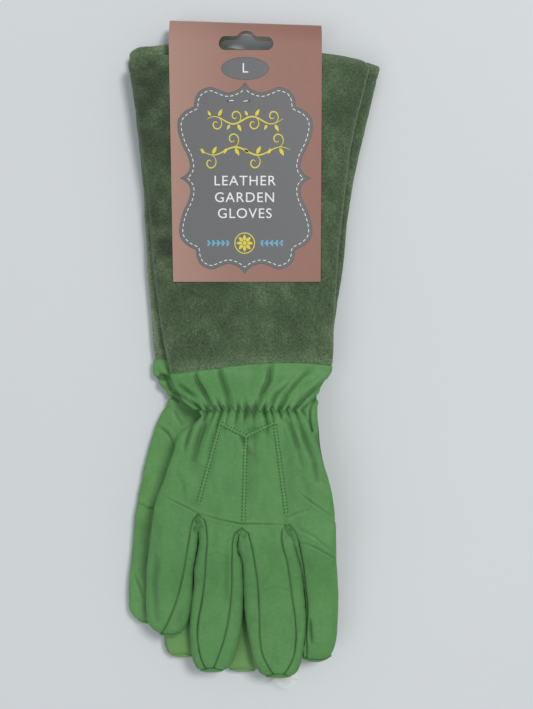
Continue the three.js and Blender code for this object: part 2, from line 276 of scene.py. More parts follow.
def capsules(name, centres, directions, length, radius, material, sides=8):
    """Short round-ended threads, one at each centre, as separate small solids of one object."""
    ring = np.linspace(0, 2 * np.pi, sides, endpoint=False)
    stations = ((-0.5, 0.35), (-0.38, 0.85), (0.0, 1.0), (0.38, 0.85), (0.5, 0.35))
    directions = np.asarray(directions, float)
    directions = directions / np.linalg.norm(directions, axis=1, keepdims=True)
    up = np.where(np.abs(directions[:, 2:]) > 0.9, [[1.0, 0, 0]], [[0, 0, 1.0]])
    side = np.cross(directions, up)
    side /= np.linalg.norm(side, axis=1, keepdims=True)
    top = np.cross(side, directions)
    vertices = []
    for place, fat in stations:
        for angle in ring:
            offset = radius * fat * (math.cos(angle) * side + math.sin(angle) * top)
            vertices.append(np.asarray(centres) + directions * length * place + offset)
    vertices = np.stack(vertices, 1)
    one = []
    for station in range(len(stations) - 1):
        for k in range(sides):
            a, b = station * sides + k, station * sides + (k + 1) % sides
            one.append((a, b, b + sides, a + sides))
    per = vertices.shape[1]
    ends = [tuple(range(sides))[::-1], tuple(range(per - sides, per))]
    faces = []
    for i in range(len(vertices)):
        faces += [tuple(i * per + k for k in face) for face in one + ends]
    return new_object(name, to_frame(vertices.reshape(-1, 3)), faces, material)


def resample(path, pitch):
    """Points every `pitch` along a 3-D path, and the path's direction at each."""
    path = np.asarray(path, float)
    steps = np.linalg.norm(np.diff(path, axis=0), axis=1)
    total = np.concatenate([[0], np.cumsum(steps)])
    places = np.arange(pitch / 2, total[-1], pitch)
    at = lambda s: np.stack([np.interp(s, total, path[:, k]) for k in range(3)], -1)
    centres = at(places)
    directions = at(np.minimum(places + 0.3, total[-1])) - at(np.maximum(places - 0.3, 0))
    return centres, directions


def stitch_row(paths, pitch, length, radius, name, material, sink=0.0):
    centres, directions = [], []
    for path in paths:
        c, d = resample(path, pitch)
        centres.append(c - np.array([0, 0, sink]))
        directions.append(d)
    return capsules(name, np.concatenate(centres), np.concatenate(directions), length, radius, material)


def drape(obj, xy):
    """Puts drawing points (x, y) on the top of an object; gives drawing points (x, y, z)."""
    tree = BVHTree.FromPolygons(
        [v.co for v in obj.data.vertices], [p.vertices for p in obj.data.polygons])
    out = []
    for x, y in xy:
        start = to_frame([x, y, 80.0])
        hit = tree.ray_cast(Vector(start), Vector((0, 0, -1)))[0]
        if hit is not None:
            out.append([x, y, hit.z / MM])
    return np.array(out)


# ---------------------------------------------------------------- materials

class Nodes:
    """A material's node tree with short calls to add and join nodes."""

    def __init__(self, name):
        self.material = bpy.data.materials.new(name)
        self.material.use_nodes = True
        self.tree = self.material.node_tree
        self.shader = self.tree.nodes["Principled BSDF"]

    def add(self, kind, **values):
        node = self.tree.nodes.new(kind)
        for key, value in values.items():
            if key in node.inputs:
                node.inputs[key].default_value = value
            else:
                setattr(node, key, value)
        return node

    def join(self, output, target):
        self.tree.links.new(output, target)

    def coordinates(self):
        return self.add("ShaderNodeTexCoord").outputs["Object"]

    def noise(self, scale, detail=3.0, roughness=0.5, stretch=(1.0, 1.0, 1.0)):
        node = self.add("ShaderNodeTexNoise", Scale=scale, Detail=detail, Roughness=roughness)
        place = self.add("ShaderNodeMapping")
        place.inputs["Scale"].default_value = stretch
        self.join(self.coordinates(), place.inputs["Vector"])
        self.join(place.outputs["Vector"], node.inputs["Vector"])
        return node.outputs["Fac"]

    def voronoi(self, scale):
        node = self.add("ShaderNodeTexVoronoi", Scale=scale)
        self.join(self.coordinates(), node.inputs["Vector"])
        return node.outputs["Distance"]

    def ramp(self, factor, *stops):
        node = self.add("ShaderNodeValToRGB")
        elements = node.color_ramp.elements
        while len(elements) < len(stops):
            elements.new(0.5)
        for element, (place, color) in zip(elements, stops):
            element.position = place
            element.color = (*color, 1.0)
        self.join(factor, node.inputs["Fac"])
        return node.outputs["Color"]

    def mix(self, factor, a, b, blend="MIX"):
        node = self.add("ShaderNodeMix", data_type="RGBA", blend_type=blend)
        for socket, value in ((node.inputs[0], factor), (node.inputs[6], a), (node.inputs[7], b)):
            if isinstance(value, (float, int)):
                socket.default_value = value
            elif isinstance(value, tuple):
                socket.default_value = (*value, 1.0)
            else:
                self.join(value, socket)
        return node.outputs[2]

    def attribute(self, name):
        return self.add("ShaderNodeAttribute", attribute_name=name).outputs["Fac"]

    def bump(self, *layers):
        """Stacked bump layers, each (height output, strength, distance in metres)."""
        normal = None
        for height, strength, distance in layers:
            node = self.add("ShaderNodeBump", Strength=strength, Distance=distance)
            self.join(height, node.inputs["Height"])
            if normal is not None:
                self.join(normal, node.inputs["Normal"])
            normal = node.outputs["Normal"]
        self.join(normal, self.shader.inputs["Normal"])

    def finish(self, color, roughness, **sockets):
        target = self.shader.inputs
        if isinstance(color, tuple):
            target["Base Color"].default_value = (*color, 1.0)
        else:
            self.join(color, target["Base Color"])
        if isinstance(roughness, float):
            target["Roughness"].default_value = roughness
        else:
            self.join(roughness, target["Roughness"])
        for key, value in sockets.items():
            target[key.replace("_", " ")].default_value = value
        return self.material


def scaled(color, k):
    return tuple(channel * k for channel in color)


def leather_material(name, base, yellow, pale):
    n = Nodes(name)
    broad = n.noise(38.0, 4.0, 0.6)
    tone = n.ramp(broad, (0.32, scaled(base, 0.90)), (0.52, base), (0.72, yellow))
    fine = n.noise(520.0, 4.0, 0.65)
    grained = n.mix(0.4, tone, n.ramp(fine, (0.3, scaled(base, 0.80)), (0.7, scaled(base, 1.2))))
    aged = n.mix(n.attribute("pale"), grained, pale)
    # painted shade: darker colour in hollows, beside seams and in the valleys between fingers, from a
    # per-point mask
    color = n.mix(n.attribute("crease"), aged, scaled(base, 0.34))
    pebble = n.voronoi(1250.0)
    n.bump((n.noise(110.0, 4.0, 0.6), 0.30, 0.0008), (pebble, 0.35, 0.00020), (fine, 0.30, 0.0003))
    roughness = n.ramp(n.noise(160.0, 2.0), (0.35, (0.52,) * 3), (0.7, (0.64,) * 3))
    return n.finish(color, roughness, Sheen_Weight=0.10, Sheen_Roughness=0.5, Specular_IOR_Level=0.4)


def suede_material(name, base, pale):
    n = Nodes(name)
    patches = n.noise(26.0, 5.0, 0.62, (1.0, 0.55, 1.0))
    tone = n.ramp(patches, (0.34, scaled(base, 0.72)), (0.50, base), (0.68, pale))
    clouds = n.noise(95.0, 4.0, 0.7, (1.0, 0.7, 1.0))
    cloudy = n.ramp(clouds, (0.34, scaled(base, 0.66)), (0.5, base), (0.7, scaled(pale, 1.15)))
    brushed = n.mix(0.45, tone, cloudy)
    worn = n.mix(n.attribute("worn"), brushed, scaled(pale, 1.25))
    nap = n.noise(850.0, 4.0, 0.8)
    specks = n.ramp(nap, (0.36, (0.42, 0.42, 0.42)), (0.5, (1.0, 1.0, 1.0)), (0.66, (1.75, 1.75, 1.7)))
    # painted shade: darker where the per-point shade mask is high
    shaded = n.mix(n.attribute("crease"), worn, scaled(base, 0.42))
    color = n.mix(0.8, shaded, specks, "MULTIPLY")
    n.bump((clouds, 0.35, 0.0010), (nap, 0.85, 0.0006))
    return n.finish(color, 0.95, Sheen_Weight=0.30, Sheen_Roughness=0.6, Specular_IOR_Level=0.15)


def speckled(name, dark, light, scale, bump, roughness, detail=3.0, rough_noise=0.5, **sockets):
    """A material between two close colours; `bump` is a fine bump's scale, strength and depth."""
    n = Nodes(name)
    color = n.ramp(n.noise(scale, detail, rough_noise), (0.3, dark), (0.7, light))
    bump_scale, strength, depth = bump
    n.bump((n.noise(bump_scale), strength, depth))
    return n.finish(color, roughness, **sockets)


def ink_material(name, color, grain=0.05):
    return speckled(name, scaled(color, 1 - grain), scaled(color, 1 + grain), 1600.0,
                    (1100.0, 0.1, 0.00008), 0.5, rough_noise=0.7)


def card_material():
    n = Nodes("printed_terracotta_card")
    # painted light: the card runs from lighter at its left to darker at its right, standing in for sheen
    # and light falling across it
    left, base, right = (0.455, 0.275, 0.225), (0.315, 0.165, 0.129), (0.272, 0.119, 0.089)
    mottled = n.ramp(n.noise(240.0, 5.0, 0.7), (0.3, scaled(base, 0.93)), (0.7, scaled(base, 1.07)))
    across = n.add("ShaderNodeSeparateXYZ")
    n.join(n.coordinates(), across.inputs[0])
    fade = n.add("ShaderNodeMapRange")
    n.join(across.outputs["X"], fade.inputs["Value"])
    for socket, value in (("From Min", -0.060), ("From Max", 0.045)):
        fade.inputs[socket].default_value = value
    painted_light_across = n.ramp(fade.outputs[0], (0.0, left), (0.45, base), (1.0, right))
    n.bump((n.noise(900.0, 4.0), 0.12, 0.0001))
    return n.finish(n.mix(0.7, mottled, painted_light_across), 0.55)


def film_material():
    n = Nodes("clear_film")
    roughness = n.ramp(n.noise(300.0), (0.3, (0.08,) * 3), (0.7, (0.2,) * 3))
    return n.finish((0.86, 0.88, 0.90), roughness, Alpha=0.13)


def elastic_material():
    n = Nodes("woven_elastic")
    wave = n.add("ShaderNodeTexWave", Scale=700.0, Distortion=0.4, bands_direction="X")
    n.join(n.coordinates(), wave.inputs["Vector"])
    color = n.ramp(wave.outputs["Fac"], (0.2, (0.45, 0.44, 0.40)), (0.8, (0.72, 0.71, 0.66)))
    n.bump((wave.outputs["Fac"], 0.6, 0.0003))
    return n.finish(color, 0.85)


GREEN = (0.085, 0.248, 0.071)
YELLOW_GREEN = (0.100, 0.262, 0.074)
# The lower glove's green is the same goatskin's colour painted lighter: painted light where the upper
# glove shades the lower glove.
LOWER_GREEN_PAINTED_LIGHT = (0.106, 0.288, 0.083)
TIP_GREEN = (0.130, 0.305, 0.087)
PALE_GREEN = (0.150, 0.318, 0.094)
SUEDE_GREEN = (0.064, 0.108, 0.050)
SUEDE_PALE = (0.122, 0.180, 0.096)

leather = leather_material("goatskin", GREEN, YELLOW_GREEN, PALE_GREEN)
leather_lower = leather_material("goatskin_lower_painted_light", LOWER_GREEN_PAINTED_LIGHT, TIP_GREEN, PALE_GREEN)
suede = suede_material("split_suede", SUEDE_GREEN, SUEDE_PALE)
thread = speckled("dark_green_thread", (0.016, 0.062, 0.014), (0.034, 0.110, 0.028), 2500.0,
                  (4000.0, 0.4, 0.0001), 0.8, Sheen_Weight=0.2)
card_print = card_material()
board = speckled("cream_board_core", (0.62, 0.58, 0.47), (0.74, 0.70, 0.58), 700.0,
                 (1200.0, 0.3, 0.0001), 0.8, detail=4.0)
elastic = elastic_material()


# ---------------------------------------------------------------- the glove's tubes

class Tube:
    """A flattened tube along Y: superellipse sections between a left and a right edge.

    A station is a place around the section, even in arc length: 0 is the +X edge, pi the -X edge
    by way of the glove's back, and negative stations run over the palm side.
    """

    def __init__(self, left, right, half, middle, power, back_sign, flatness):
        self.left, self.right = left, right
        self.half, self.middle = half, middle
        self.power, self.back_sign = power, back_sign
        spread = np.linspace(-1, 1, 4001)
        angles = math.pi / 2 * (1 + np.sign(spread) * np.abs(spread) ** 3)
        c, s = np.cos(angles), np.sin(angles)
        k = 2 / power
        across, up = flatness * np.sign(c) * np.abs(c) ** k, np.abs(s) ** k
        arc = np.concatenate([[0], np.cumsum(np.hypot(np.diff(across), np.diff(up)))])
        arc *= math.pi / arc[-1]
        self.stations = np.concatenate([arc, math.pi + arc[1:]])
        self.angles = np.concatenate([angles, math.pi + angles[1:]])

    def point(self, station, y):
        angle = np.sign(station) * np.interp(np.abs(station), self.stations, self.angles)
        c, s = np.cos(angle), np.sin(angle)
        k = 2 / self.power
        centre = (self.left(y) + self.right(y)) / 2
        wide = (self.right(y) - self.left(y)) / 2
        x = centre + wide * np.sign(c) * np.abs(c) ** k
        z = self.middle(y) + self.back_sign * self.half(y) * np.sign(s) * np.abs(s) ** k
        y, x, z = np.broadcast_arrays(y, x, z)
        return np.stack([x, y, z], -1)

    def station(self, x, y):
        """The station on the back at which the tube has this x."""
        centre = (self.left(y) + self.right(y)) / 2
        wide = (self.right(y) - self.left(y)) / 2
        q = np.clip((x - centre) / np.maximum(wide, 1e-3), -0.98, 0.98)
        angle = np.arccos(np.sign(q) * np.abs(q) ** (self.power / 2))
        return np.interp(angle, self.angles, self.stations)

    def centre(self, y):
        x = (self.left(y) + self.right(y)) / 2
        y, x, z = np.broadcast_arrays(y, x, self.middle(y))
        return np.stack([x, y, z], -1)


EDGE = 0.004    # how far in stations a panel's edge stays from the glove's side

# Where the cuff's mouth and seam, the hand's top and the knuckles lie on average.
MOUTH_ROW, SEAM_ROW, TUCK_ROW, KNUCKLE_ROW = 178.0, -8.0, -7.0, -99.0

SEAM = profile((-54, -11.6), (-26, -8.1), (-6, -5.5), (29.5, -4.4), (47, -6))
LOWER_SEAM = profile((-55, -6.9), (0, -6), (47, -6))
MOUTH = profile(
    (-77, 178), (-74, 179.4), (-52, 180.7), (-5, 183.6), (41, 181.6), (57, 179.2), (67, 176.4),
    (70, 174.4))
LOWER_MOUTH = profile(
    (-79.5, 178.8), (-74, 182.4), (-64, 184), (-55, 185.5), (0, 183.6), (60, 180.5), (72, 178.5),
    (75.5, 177.3), (78, 174.5))

# The line on the back where the fingers leave the hand, through the three crotches.
CROTCHES = ((-33.2, -94.0), (-7.8, -101.6), (19.2, -100.4))
KNUCKLES = profile(
    (-62, -89.5), CROTCHES[0], (-21, -98.6), CROTCHES[1], (6, -101.9), CROTCHES[2], (49, -99.4))

UPPER = {
    "side": "right",
    "back_sign": 1,
    "cuff_z": 14.5,
    "hand_z": 25.1,
    "tip_z": 16.0,
    "mouth": MOUTH,
    "seam": SEAM,
    "cuff_left": profile(
        (180, -77), (164, -74.6), (141, -71.4), (99, -65.4), (43.5, -60.4), (21, -57.6), (-12, -51.8)),
    "cuff_right": profile(
        (180, 70.4), (175, 69.5), (141, 61.2), (112, 56), (79, 52.6), (45, 49.3), (-8, 46.6)),
    "hand_left": profile(
        (-4, -52.6), (-11, -51.6), (-20, -47.2), (-27, -43), (-32, -37), (-35.8, -32.4), (-39, -34.2),
        (-43, -39.8), (-48, -44.4), (-54, -46.9), (-70, -52.4), (-87, -59.2), (-98, -61.2),
        (-119, -63.7)),
    "hand_right": profile(
        (-4, 46.4), (-10, 45.9), (-17, 41.4), (-23.6, 37.6), (-30, 37), (-42, 37.9), (-60, 40.2),
        (-76, 44.3), (-90, 47.3), (-104, 48.1), (-119, 48.5)),
    "leather": leather,
    "leather_slot": "leather",
    "detail": 1.0,
    "cuff_seed": 101,
    "lift": {"ring": 0.3, "middle": 1.2, "index": -0.8},
}
LOWER = {
    "side": "left",
    "back_sign": -1,
    "cuff_z": 5.8,
    "hand_z": 5.0,
    "tip_z": 5.0,
    "mouth": LOWER_MOUTH,
    "seam": LOWER_SEAM,
    "cuff_left": profile((182, -79), (99, -67.5), (43.5, -62), (-12, -54.8)),
    "cuff_right": profile((182, 76), (141, 68), (99, 60.5), (43.5, 56.6), (-10, 50)),
    "hand_left": profile(
        (-4, -55.6), (-16.4, -55), (-22, -50.8), (-26, -46.6), (-29.7, -44.4), (-34, -46.2),
        (-39.2, -49.2), (-56.3, -55.4), (-76.7, -59.6), (-94, -62.4), (-106.5, -63.4), (-119, -64.2)),
    "wide_knuckle": 1.5,
    "hand_right": profile((-4, 50), (-25, 41), (-42, 39.9), (-77, 44.3), (-98, 48), (-119, 48.5)),
    "leather": leather_lower,
    "leather_slot": "leather_lower",
    "detail": 0.7,
    "cuff_seed": 151,
    # Its fingers fan out: each edge's slant to the left over the finger, and how much longer it looks.
    "slant": {"little": (0, -3), "ring": (-4.5, -4.5), "middle": (-7, -7), "index": (-5, -5)},
    "longer": {"ring": -2.0, "middle": 2.2},
}

# Each finger: its outline and its back seams as (y, x) points, and the y of its tip.
FINGER_SHAPES = {
    "little": {
        "left": profile(
            (-91, -60), (-98, -61.2), (-119, -63.7), (-135, -64.7), (-155, -64.8), (-160.5, -64.2),
            (-164, -62.3), (-166.8, -59), (-168.8, -54.6), (-169.4, -51.5)),
        "right": profile(
            (-93.5, -33.3), (-100, -33.9), (-112, -33.9), (-120.6, -35.4), (-128, -36.8), (-139, -37.4),
            (-151, -38.7), (-157, -39.8), (-163, -41.6), (-167.2, -44.6), (-169.4, -49.5)),
        "seam_right": profile(
            (-94, -33.4), (-94.6, -34.8), (-96.4, -36), (-100, -37), (-120, -40.6), (-133.5, -43.2),
            (-146.4, -46.7), (-157.6, -51), (-163, -53.6), (-168.2, -56.6)),
        "tip": -169.4,
    },
    "ring": {
        "left": profile(
            (-93.5, -33), (-100, -33.6), (-112, -33.6), (-120.6, -35.1), (-128, -36.5), (-139, -37.1),
            (-151, -38.3), (-170, -39.4), (-179, -38.4), (-185.6, -36.6), (-189.4, -33.8),
            (-190.9, -29.8)),
        "right": profile(
            (-101.3, -8), (-110, -10.2), (-116, -10.4), (-122, -8.2), (-133, -7.4), (-151, -7.2),
            (-160, -7.7), (-170, -8.9), (-180, -11.6), (-185.6, -13.6), (-189.4, -17.8),
            (-190.9, -22.4)),
        "seam_left": profile(
            (-94, -32.9), (-94.6, -31.6), (-96.4, -30.4), (-100, -29.2), (-108, -28.3), (-121, -29.1),
            (-135, -30.3), (-149, -32.4), (-158.5, -34.2), (-167, -34.9), (-177.4, -33.8),
            (-184, -31.9), (-189.6, -29)),
        "seam_right": profile(
            (-101.6, -8.1), (-102.2, -9.7), (-104.2, -11.2), (-108, -12.5), (-118, -13.4), (-142, -14),
            (-157, -15.6), (-167, -17.6), (-178, -21), (-184, -23.2), (-189.6, -25.6)),
        "tip": -190.9,
    },
    "middle": {
        "left": profile(
            (-101.3, -7.6), (-110, -9.5), (-116, -9.8), (-122, -7.8), (-133, -6.9), (-151, -6.6),
            (-160, -5.8), (-171, -3.9), (-181.6, -1.6), (-188.6, 1.2), (-192, 4), (-194, 9)),
        "right": profile(
            (-100, 19.1), (-108, 21.8), (-116, 24.4), (-128, 27.6), (-140, 29.2), (-156, 30.6),
            (-163, 30.6), (-170, 30), (-181, 28.6), (-188, 26.8), (-192, 23.6), (-194, 19)),
        "seam_left": profile(
            (-101.6, -7.5), (-102.2, -6), (-104.2, -4.4), (-108, -3.2), (-124, 0), (-142, 2),
            (-160, 2.5), (-170, 2.8), (-181, 5), (-187, 8.2), (-192.6, 12)),
        "seam_right": profile(
            (-100.4, 19.1), (-100.9, 18), (-102.8, 16.7), (-107, 16.2), (-124, 19.4), (-144, 22.2),
            (-160, 24.5), (-172, 24.8), (-182, 22.8), (-187, 20.2), (-192.6, 16.6)),
        "tip": -194.0,
    },
    "index": {
        "left": profile(
            (-100, 19.4), (-108, 22.1), (-116, 24.7), (-128, 27.9), (-140, 29.5), (-156, 30.8),
            (-163, 30.8), (-170, 30.2), (-178, 29.2), (-183, 29.2), (-185, 33)),
        "right": profile(
            (-101, 48.2), (-119, 48.6), (-135, 49.4), (-147, 49.9), (-160, 49.8), (-168, 49.4),
            (-174, 48.4), (-179, 46.6), (-183, 43.4), (-185, 39)),
        "seam_left": profile(
            (-100.4, 19.3), (-100.9, 20.4), (-102.8, 22.2), (-108, 24.8), (-118, 27), (-128, 28.7),
            (-140, 30), (-156, 31.2), (-170, 30.8), (-183, 30.6)),
        "tip": -185.0,
    },
}

FINGER_REACH = 95.0     # the length over which the lower glove's slants are given
TIP_ROUND = 6.5         # how far from its end a fingertip gets thinner


def lay(points, glove):
    """Places a glove's own drawing points: the lower one is turned about its cuff."""
    if glove["side"] == "right":
        return points
    x, y, z = np.moveaxis(points, -1, 0)
    c, s = math.cos(TURN), math.sin(TURN)
    turned_x = x * c + y * s - TURN_PIVOT_Y * s
    turned_y = -x * s + y * c + TURN_PIVOT_Y * (1 - c) + LOWER_SHIFT_Y
    return np.stack([turned_x, turned_y, z], -1)


def cuff_tube(glove):
    return Tube(glove["cuff_left"], glove["cuff_right"], lambda y: CUFF_HALF + 0 * y,
                lambda y: glove["cuff_z"] + 0 * y, 4.5, glove["back_sign"], 14)


def hand_tube(glove):
    rise = lambda y: smooth(9, 40, -y)
    return Tube(glove["hand_left"], glove["hand_right"], lambda y: mix(CUFF_HALF, HAND_HALF, rise(y)),
                lambda y: mix(glove["cuff_z"], glove["hand_z"], rise(y)), 3.2, glove["back_sign"], 9)


def finger_place(glove, name):
    """For a glove's finger: a function that puts an outline curve in its place, and the tip's y."""
    own_tip = FINGER_SHAPES[name]["tip"]
    tip = own_tip - glove.get("longer", {}).get(name, 0.0)
    stretch = (tip - KNUCKLE_Y) / (own_tip - KNUCKLE_Y)
    slants = glove.get("slant", {}).get(name, (0, 0))
    wide_knuckle = glove.get("wide_knuckle", 0) if name == "little" else 0

    def edge(key):
        curve = FINGER_SHAPES[name][key]
        slant = (slants[0] if key.endswith("left") else slants[1]) / FINGER_REACH
        wide = wide_knuckle if key == "left" else 0

        def place(y):
            own_y = np.where(y < KNUCKLE_Y, KNUCKLE_Y + (y - KNUCKLE_Y) / stretch, y)
            fanned = curve(own_y) + slant * np.maximum(KNUCKLE_Y - y, 0)
            return fanned - wide * (1 - smooth(100, 125, -y))

        return place

    return edge, tip


def finger_tube(glove, name):
    edge, tip = finger_place(glove, name)
    into = lambda y: np.clip((tip + TIP_ROUND - y) / TIP_ROUND, 0, 0.995)
    lift = glove.get("lift", {}).get(name, 0.0)
    fall = lambda y: smooth(110, 150, -y)
    return Tube(edge("left"), edge("right"), lambda y: HAND_HALF * (1 - into(y) ** 2.6) ** 0.5,
                lambda y: mix(glove["hand_z"], glove["tip_z"] + lift, fall(y)),
                3.4, glove["back_sign"], 3)


# ---------------------------------------------------------------- relief of the upper glove's back

POINT_TOPS = ((-20.4, -40.2), (-5.3, -48.0), (11.7, -39.8))
POINT_ENDS = ((-33.3, -87.0), (-6.7, -98.0), (18.6, -93.5))
POINT_ROWS = [*zip(POINT_TOPS, POINT_ENDS), *zip(POINT_TOPS[:-1], POINT_TOPS[1:])]
SIDE_SEAM = ((42.5, -16), (37.5, -24), (34, -29), (32.6, -33), (32.8, -39), (34, -45))
KNUCKLE_FOLDS = (
    (((-55, -82.8), (-46.6, -87), (-38, -91.2), (-32.8, -94.2)), 0.42, 0.55),
    (((-34, -93.4), (-20.8, -97.2), (-7.8, -99.7), (5, -99.8), (18, -100.6)), 0.5, 0.55),
    (((18, -96.5), (26, -93), (33, -91.5)), 0.2, 0.8),
    (((25.7, -80.9), (33.5, -87), (46.6, -96.5)), 0.42, 0.6),
    (((24.5, -101.8), (35.2, -107.4), (46, -116.3)), 0.32, 0.8),
    (((25.2, -110.8), (31, -111.6), (39, -115.6), (48.3, -121.2)), 0.5, 0.6),
    (((-29, -119), (-22, -117), (-16, -119.5)), 0.22, 0.7),
    (((4, -141), (14, -139), (24, -142)), 0.18, 0.9),
    (((-47, -68), (-42, -76), (-40.5, -86)), 0.2, 1.4),
)
# Broad folds that leave the gathered wrist: each a valley path, its depth and width.
WRIST_FOLDS = (
    (((-38, -11), (-31, -20), (-26, -30)), 1.1, 1.8),
    (((-49, -21), (-40, -27), (-31, -31)), 1.1, 1.3),
    (((-46, -17), (-36, -24), (-28, -30)), 1, 1.3),
    (((45, -14), (35, -21), (25, -30)), 1.2, 1.5),
    (((44, -22), (34, -27), (27, -32)), 1, 1.2),
    (((20, -16), (12, -24), (7, -31)), 0.9, 1.3),
    (((-34, -35), (-39, -44), (-43, -56)), 1.4, 1.8),
    (((-27, -36), (-33, -50), (-37, -64)), 1, 2.2),
    (((24, -36), (29, -48), (35, -62), (37, -76)), 1.4, 2.2),
    (((18, -36), (23, -45), (26, -56)), 0.8, 1.6),
    (((-10, -36), (-9, -46), (-3, -60)), 0.7, 1.6),
    (((-57.5, -118), (-60, -138), (-59, -160)), 0.8, 2.6),
    (((-15.5, -104), (-16.5, -125), (-17, -150)), 0.5, 2),
    (((33, -158), (33.2, -166), (34, -174)), 1, 1.2),
)
# Sharp-topped folds: the path, the crest's height, and how far its left and right sides reach.
WRIST_CRESTS = (
    (((-11, -33), (-14.5, -22), (-19, -10), (-21, -3)), 2.1, 3.6, 8),
    (((4.5, -33), (6, -24), (10.5, -16), (12, -3)), 2.2, 3.6, 9),
    (((17.5, -33), (21, -24), (29, -15), (37, -8)), 1.6, 3, 4),
    (((-29, -33), (-34, -25), (-42, -18), (-48, -13)), 1.4, 3, 3),
    (((-24, -33), (-27, -25), (-33, -15), (-36, -6)), 1.3, 2.4, 4),
    (((12, -31), (17.5, -42), (23, -56), (26, -68)), 1.4, 4, 2.6),
    (((23, -32), (29, -42), (36, -58), (41, -74)), 1.5, 5, 4.5),
    (((-33, -33), (-39.5, -44), (-44, -58)), 1.5, 3, 2.6),
    (((-22, -33), (-26, -43), (-30.5, -58)), 1, 3, 2.4),
)


def gather(x, y):
    """Pleats at the wrist elastic that fan out above and below it."""
    above = y - GATHER_Y
    spread, reach = np.where(above > 0, 0.62, 0.36), np.where(above > 0, 17, 16)
    g = -3.0 + (x + 3.0) / (1 + spread * (1 - np.exp(-np.abs(above) / reach)))
    inside = smooth(-38.5, -33, g) * (1 - smooth(25, 31, g))
    reach = (6.5 + 2.0 * np.sign(-above)) * (1 + 0.45 * noise(g, 0 * g, 5.3, 5))
    near = np.exp(-(np.abs(above) / reach) ** 1.2)
    wobble = 1.3 * noise(g, y * 0.3, 7, 11)
    ridge = np.abs(np.sin(np.pi * (g + wobble) / 4.7)) ** 0.7 - 0.62
    uneven = 1 + 0.35 * noise(g, 0 * g, 4.1, 13)
    broad_fade = np.exp(-np.abs(above) / np.where(above > 0, 13.0, 17.0))
    broad = noise(g, y * 0.10, 6.0, 21) + 0.7 * noise(g, y * 0.14, 3.3, 22)
    waist = -1.5 * np.exp(-(above / 4.5) ** 2)
    return inside * (2.3 * near * ridge * uneven + 1.5 * broad * broad_fade + waist)


def ridges(x, y):
    total = 0 * x
    for row in POINT_ROWS:
        d = distance_to(x, y, row)[0]
        total = np.maximum(total, 0.75 * np.exp(-(d / 1.15) ** 2))
        total = total - 0.22 * np.exp(-((d - 2.6) / 1.2) ** 2)
    return total


def back_relief(x, y):
    """Height of the upper glove's back above its smooth form."""
    height = gather(x, y) + ridges(x, y)
    for path, depth, width in KNUCKLE_FOLDS + WRIST_FOLDS:
        height += fold(x, y, path, depth, width)
    for path, *shape in WRIST_CRESTS:
        height += crest(x, y, path, *shape)
    d = distance_to(x, y, SIDE_SEAM)[0]
    height = height - 1.0 * np.exp(-(d / 0.7) ** 2) + 0.25 * np.exp(-((d - 2.0) / 1.3) ** 2)
    height = height + 0.75 * noise(x, y * 0.5, 15, 31) + 0.30 * noise(x, y * 0.6, 7, 32)
    return height + 0.08 * noise(x * 1.5, y * 0.6, 3.0, 33)


def plain_relief(x, y, seed):
    height = 0.4 * noise(x, y, 22, seed) + 0.22 * noise(x, y, 8, seed + 1)
    return height + 0.08 * noise(x, y, 3.2, seed + 2)


# Creases of the lower glove where it shows at the left, in its own drawing place.
LOWER_FOLDS = (
    (((-55, -20), (-49, -17.5), (-42, -18)), 1.5, 1.4),
    (((-54, -13), (-47, -20), (-44, -27)), 1.3, 1.3),
    (((-50, -31), (-43, -30), (-38, -33)), 1.5, 1.1),
    (((-52, -47), (-45, -52), (-40, -60)), 0.7, 1.0),
    (((-42, -38), (-37, -46), (-34, -44)), 1.0, 1.3),
    (((-62, -95), (-55, -98), (-47, -97)), 0.6, 0.8),
    (((-62, -138), (-58, -147), (-55, -154)), 0.5, 1.2),
)


def lower_relief(x, y):
    """The lower glove's palm side: crumpled at the wrist, with a few long creases."""
    near = np.exp(-((y + 26) / 15.0) ** 2)
    crumple = 1.1 * noise(x * 0.6 + y * 0.5, y - x * 0.25, 6.5, 61) + 0.5 * noise(x + y, y, 3.2, 62)
    height = near * crumple + 0.5 * noise(x, y * 0.5, 16, 63) + 0.22 * noise(x, y, 7, 64)
    for path, depth, width in LOWER_FOLDS:
        height = height + fold(x, y, path, depth, width)
    hidden = smooth(-44, -38, x) * smooth(-150, -130, y)
    return height * (1 - 0.6 * hidden)


def relief_of(glove, is_back, seed):
    """The relief of a hand or finger half: full on the side that shows, faint on the others."""
    if is_back and glove["side"] == "right":
        return back_relief
    if not is_back and glove["side"] == "left":
        return lower_relief
    return lambda x, y: 0.5 * plain_relief(x, y, seed)


def arc_distance(points, axis):
    """Distance of every grid point from the first line of the grid, along the surface."""
    steps = np.linalg.norm(np.diff(points, axis=axis), axis=-1)
    total = np.cumsum(steps, axis=axis)
    zero = np.zeros_like(np.take(total, [0], axis=axis))
    return np.concatenate([zero, total], axis=axis)


def soften(grid, reach):
    """A running average of a grid over `reach` cells both ways, kept at its borders."""
    for axis in (0, 1):
        for _ in range(2):
            grid = np.moveaxis(grid, axis, 0)
            padded = np.pad(grid, ((reach, reach), (0, 0)), mode="edge")
            total = np.cumsum(np.concatenate([np.zeros((1, grid.shape[1])), padded]), axis=0)
            grid = (total[2 * reach + 1:] - total[:-2 * reach - 1]) / (2 * reach + 1)
            grid = np.moveaxis(grid, 0, axis)
    return grid


SEAM_ROLL = 0.8     # how far from a seam the leather starts to dip into it
SEAM_SHADE = 0.6    # how far from a seam the leather is painted darker, as painted shade in its groove


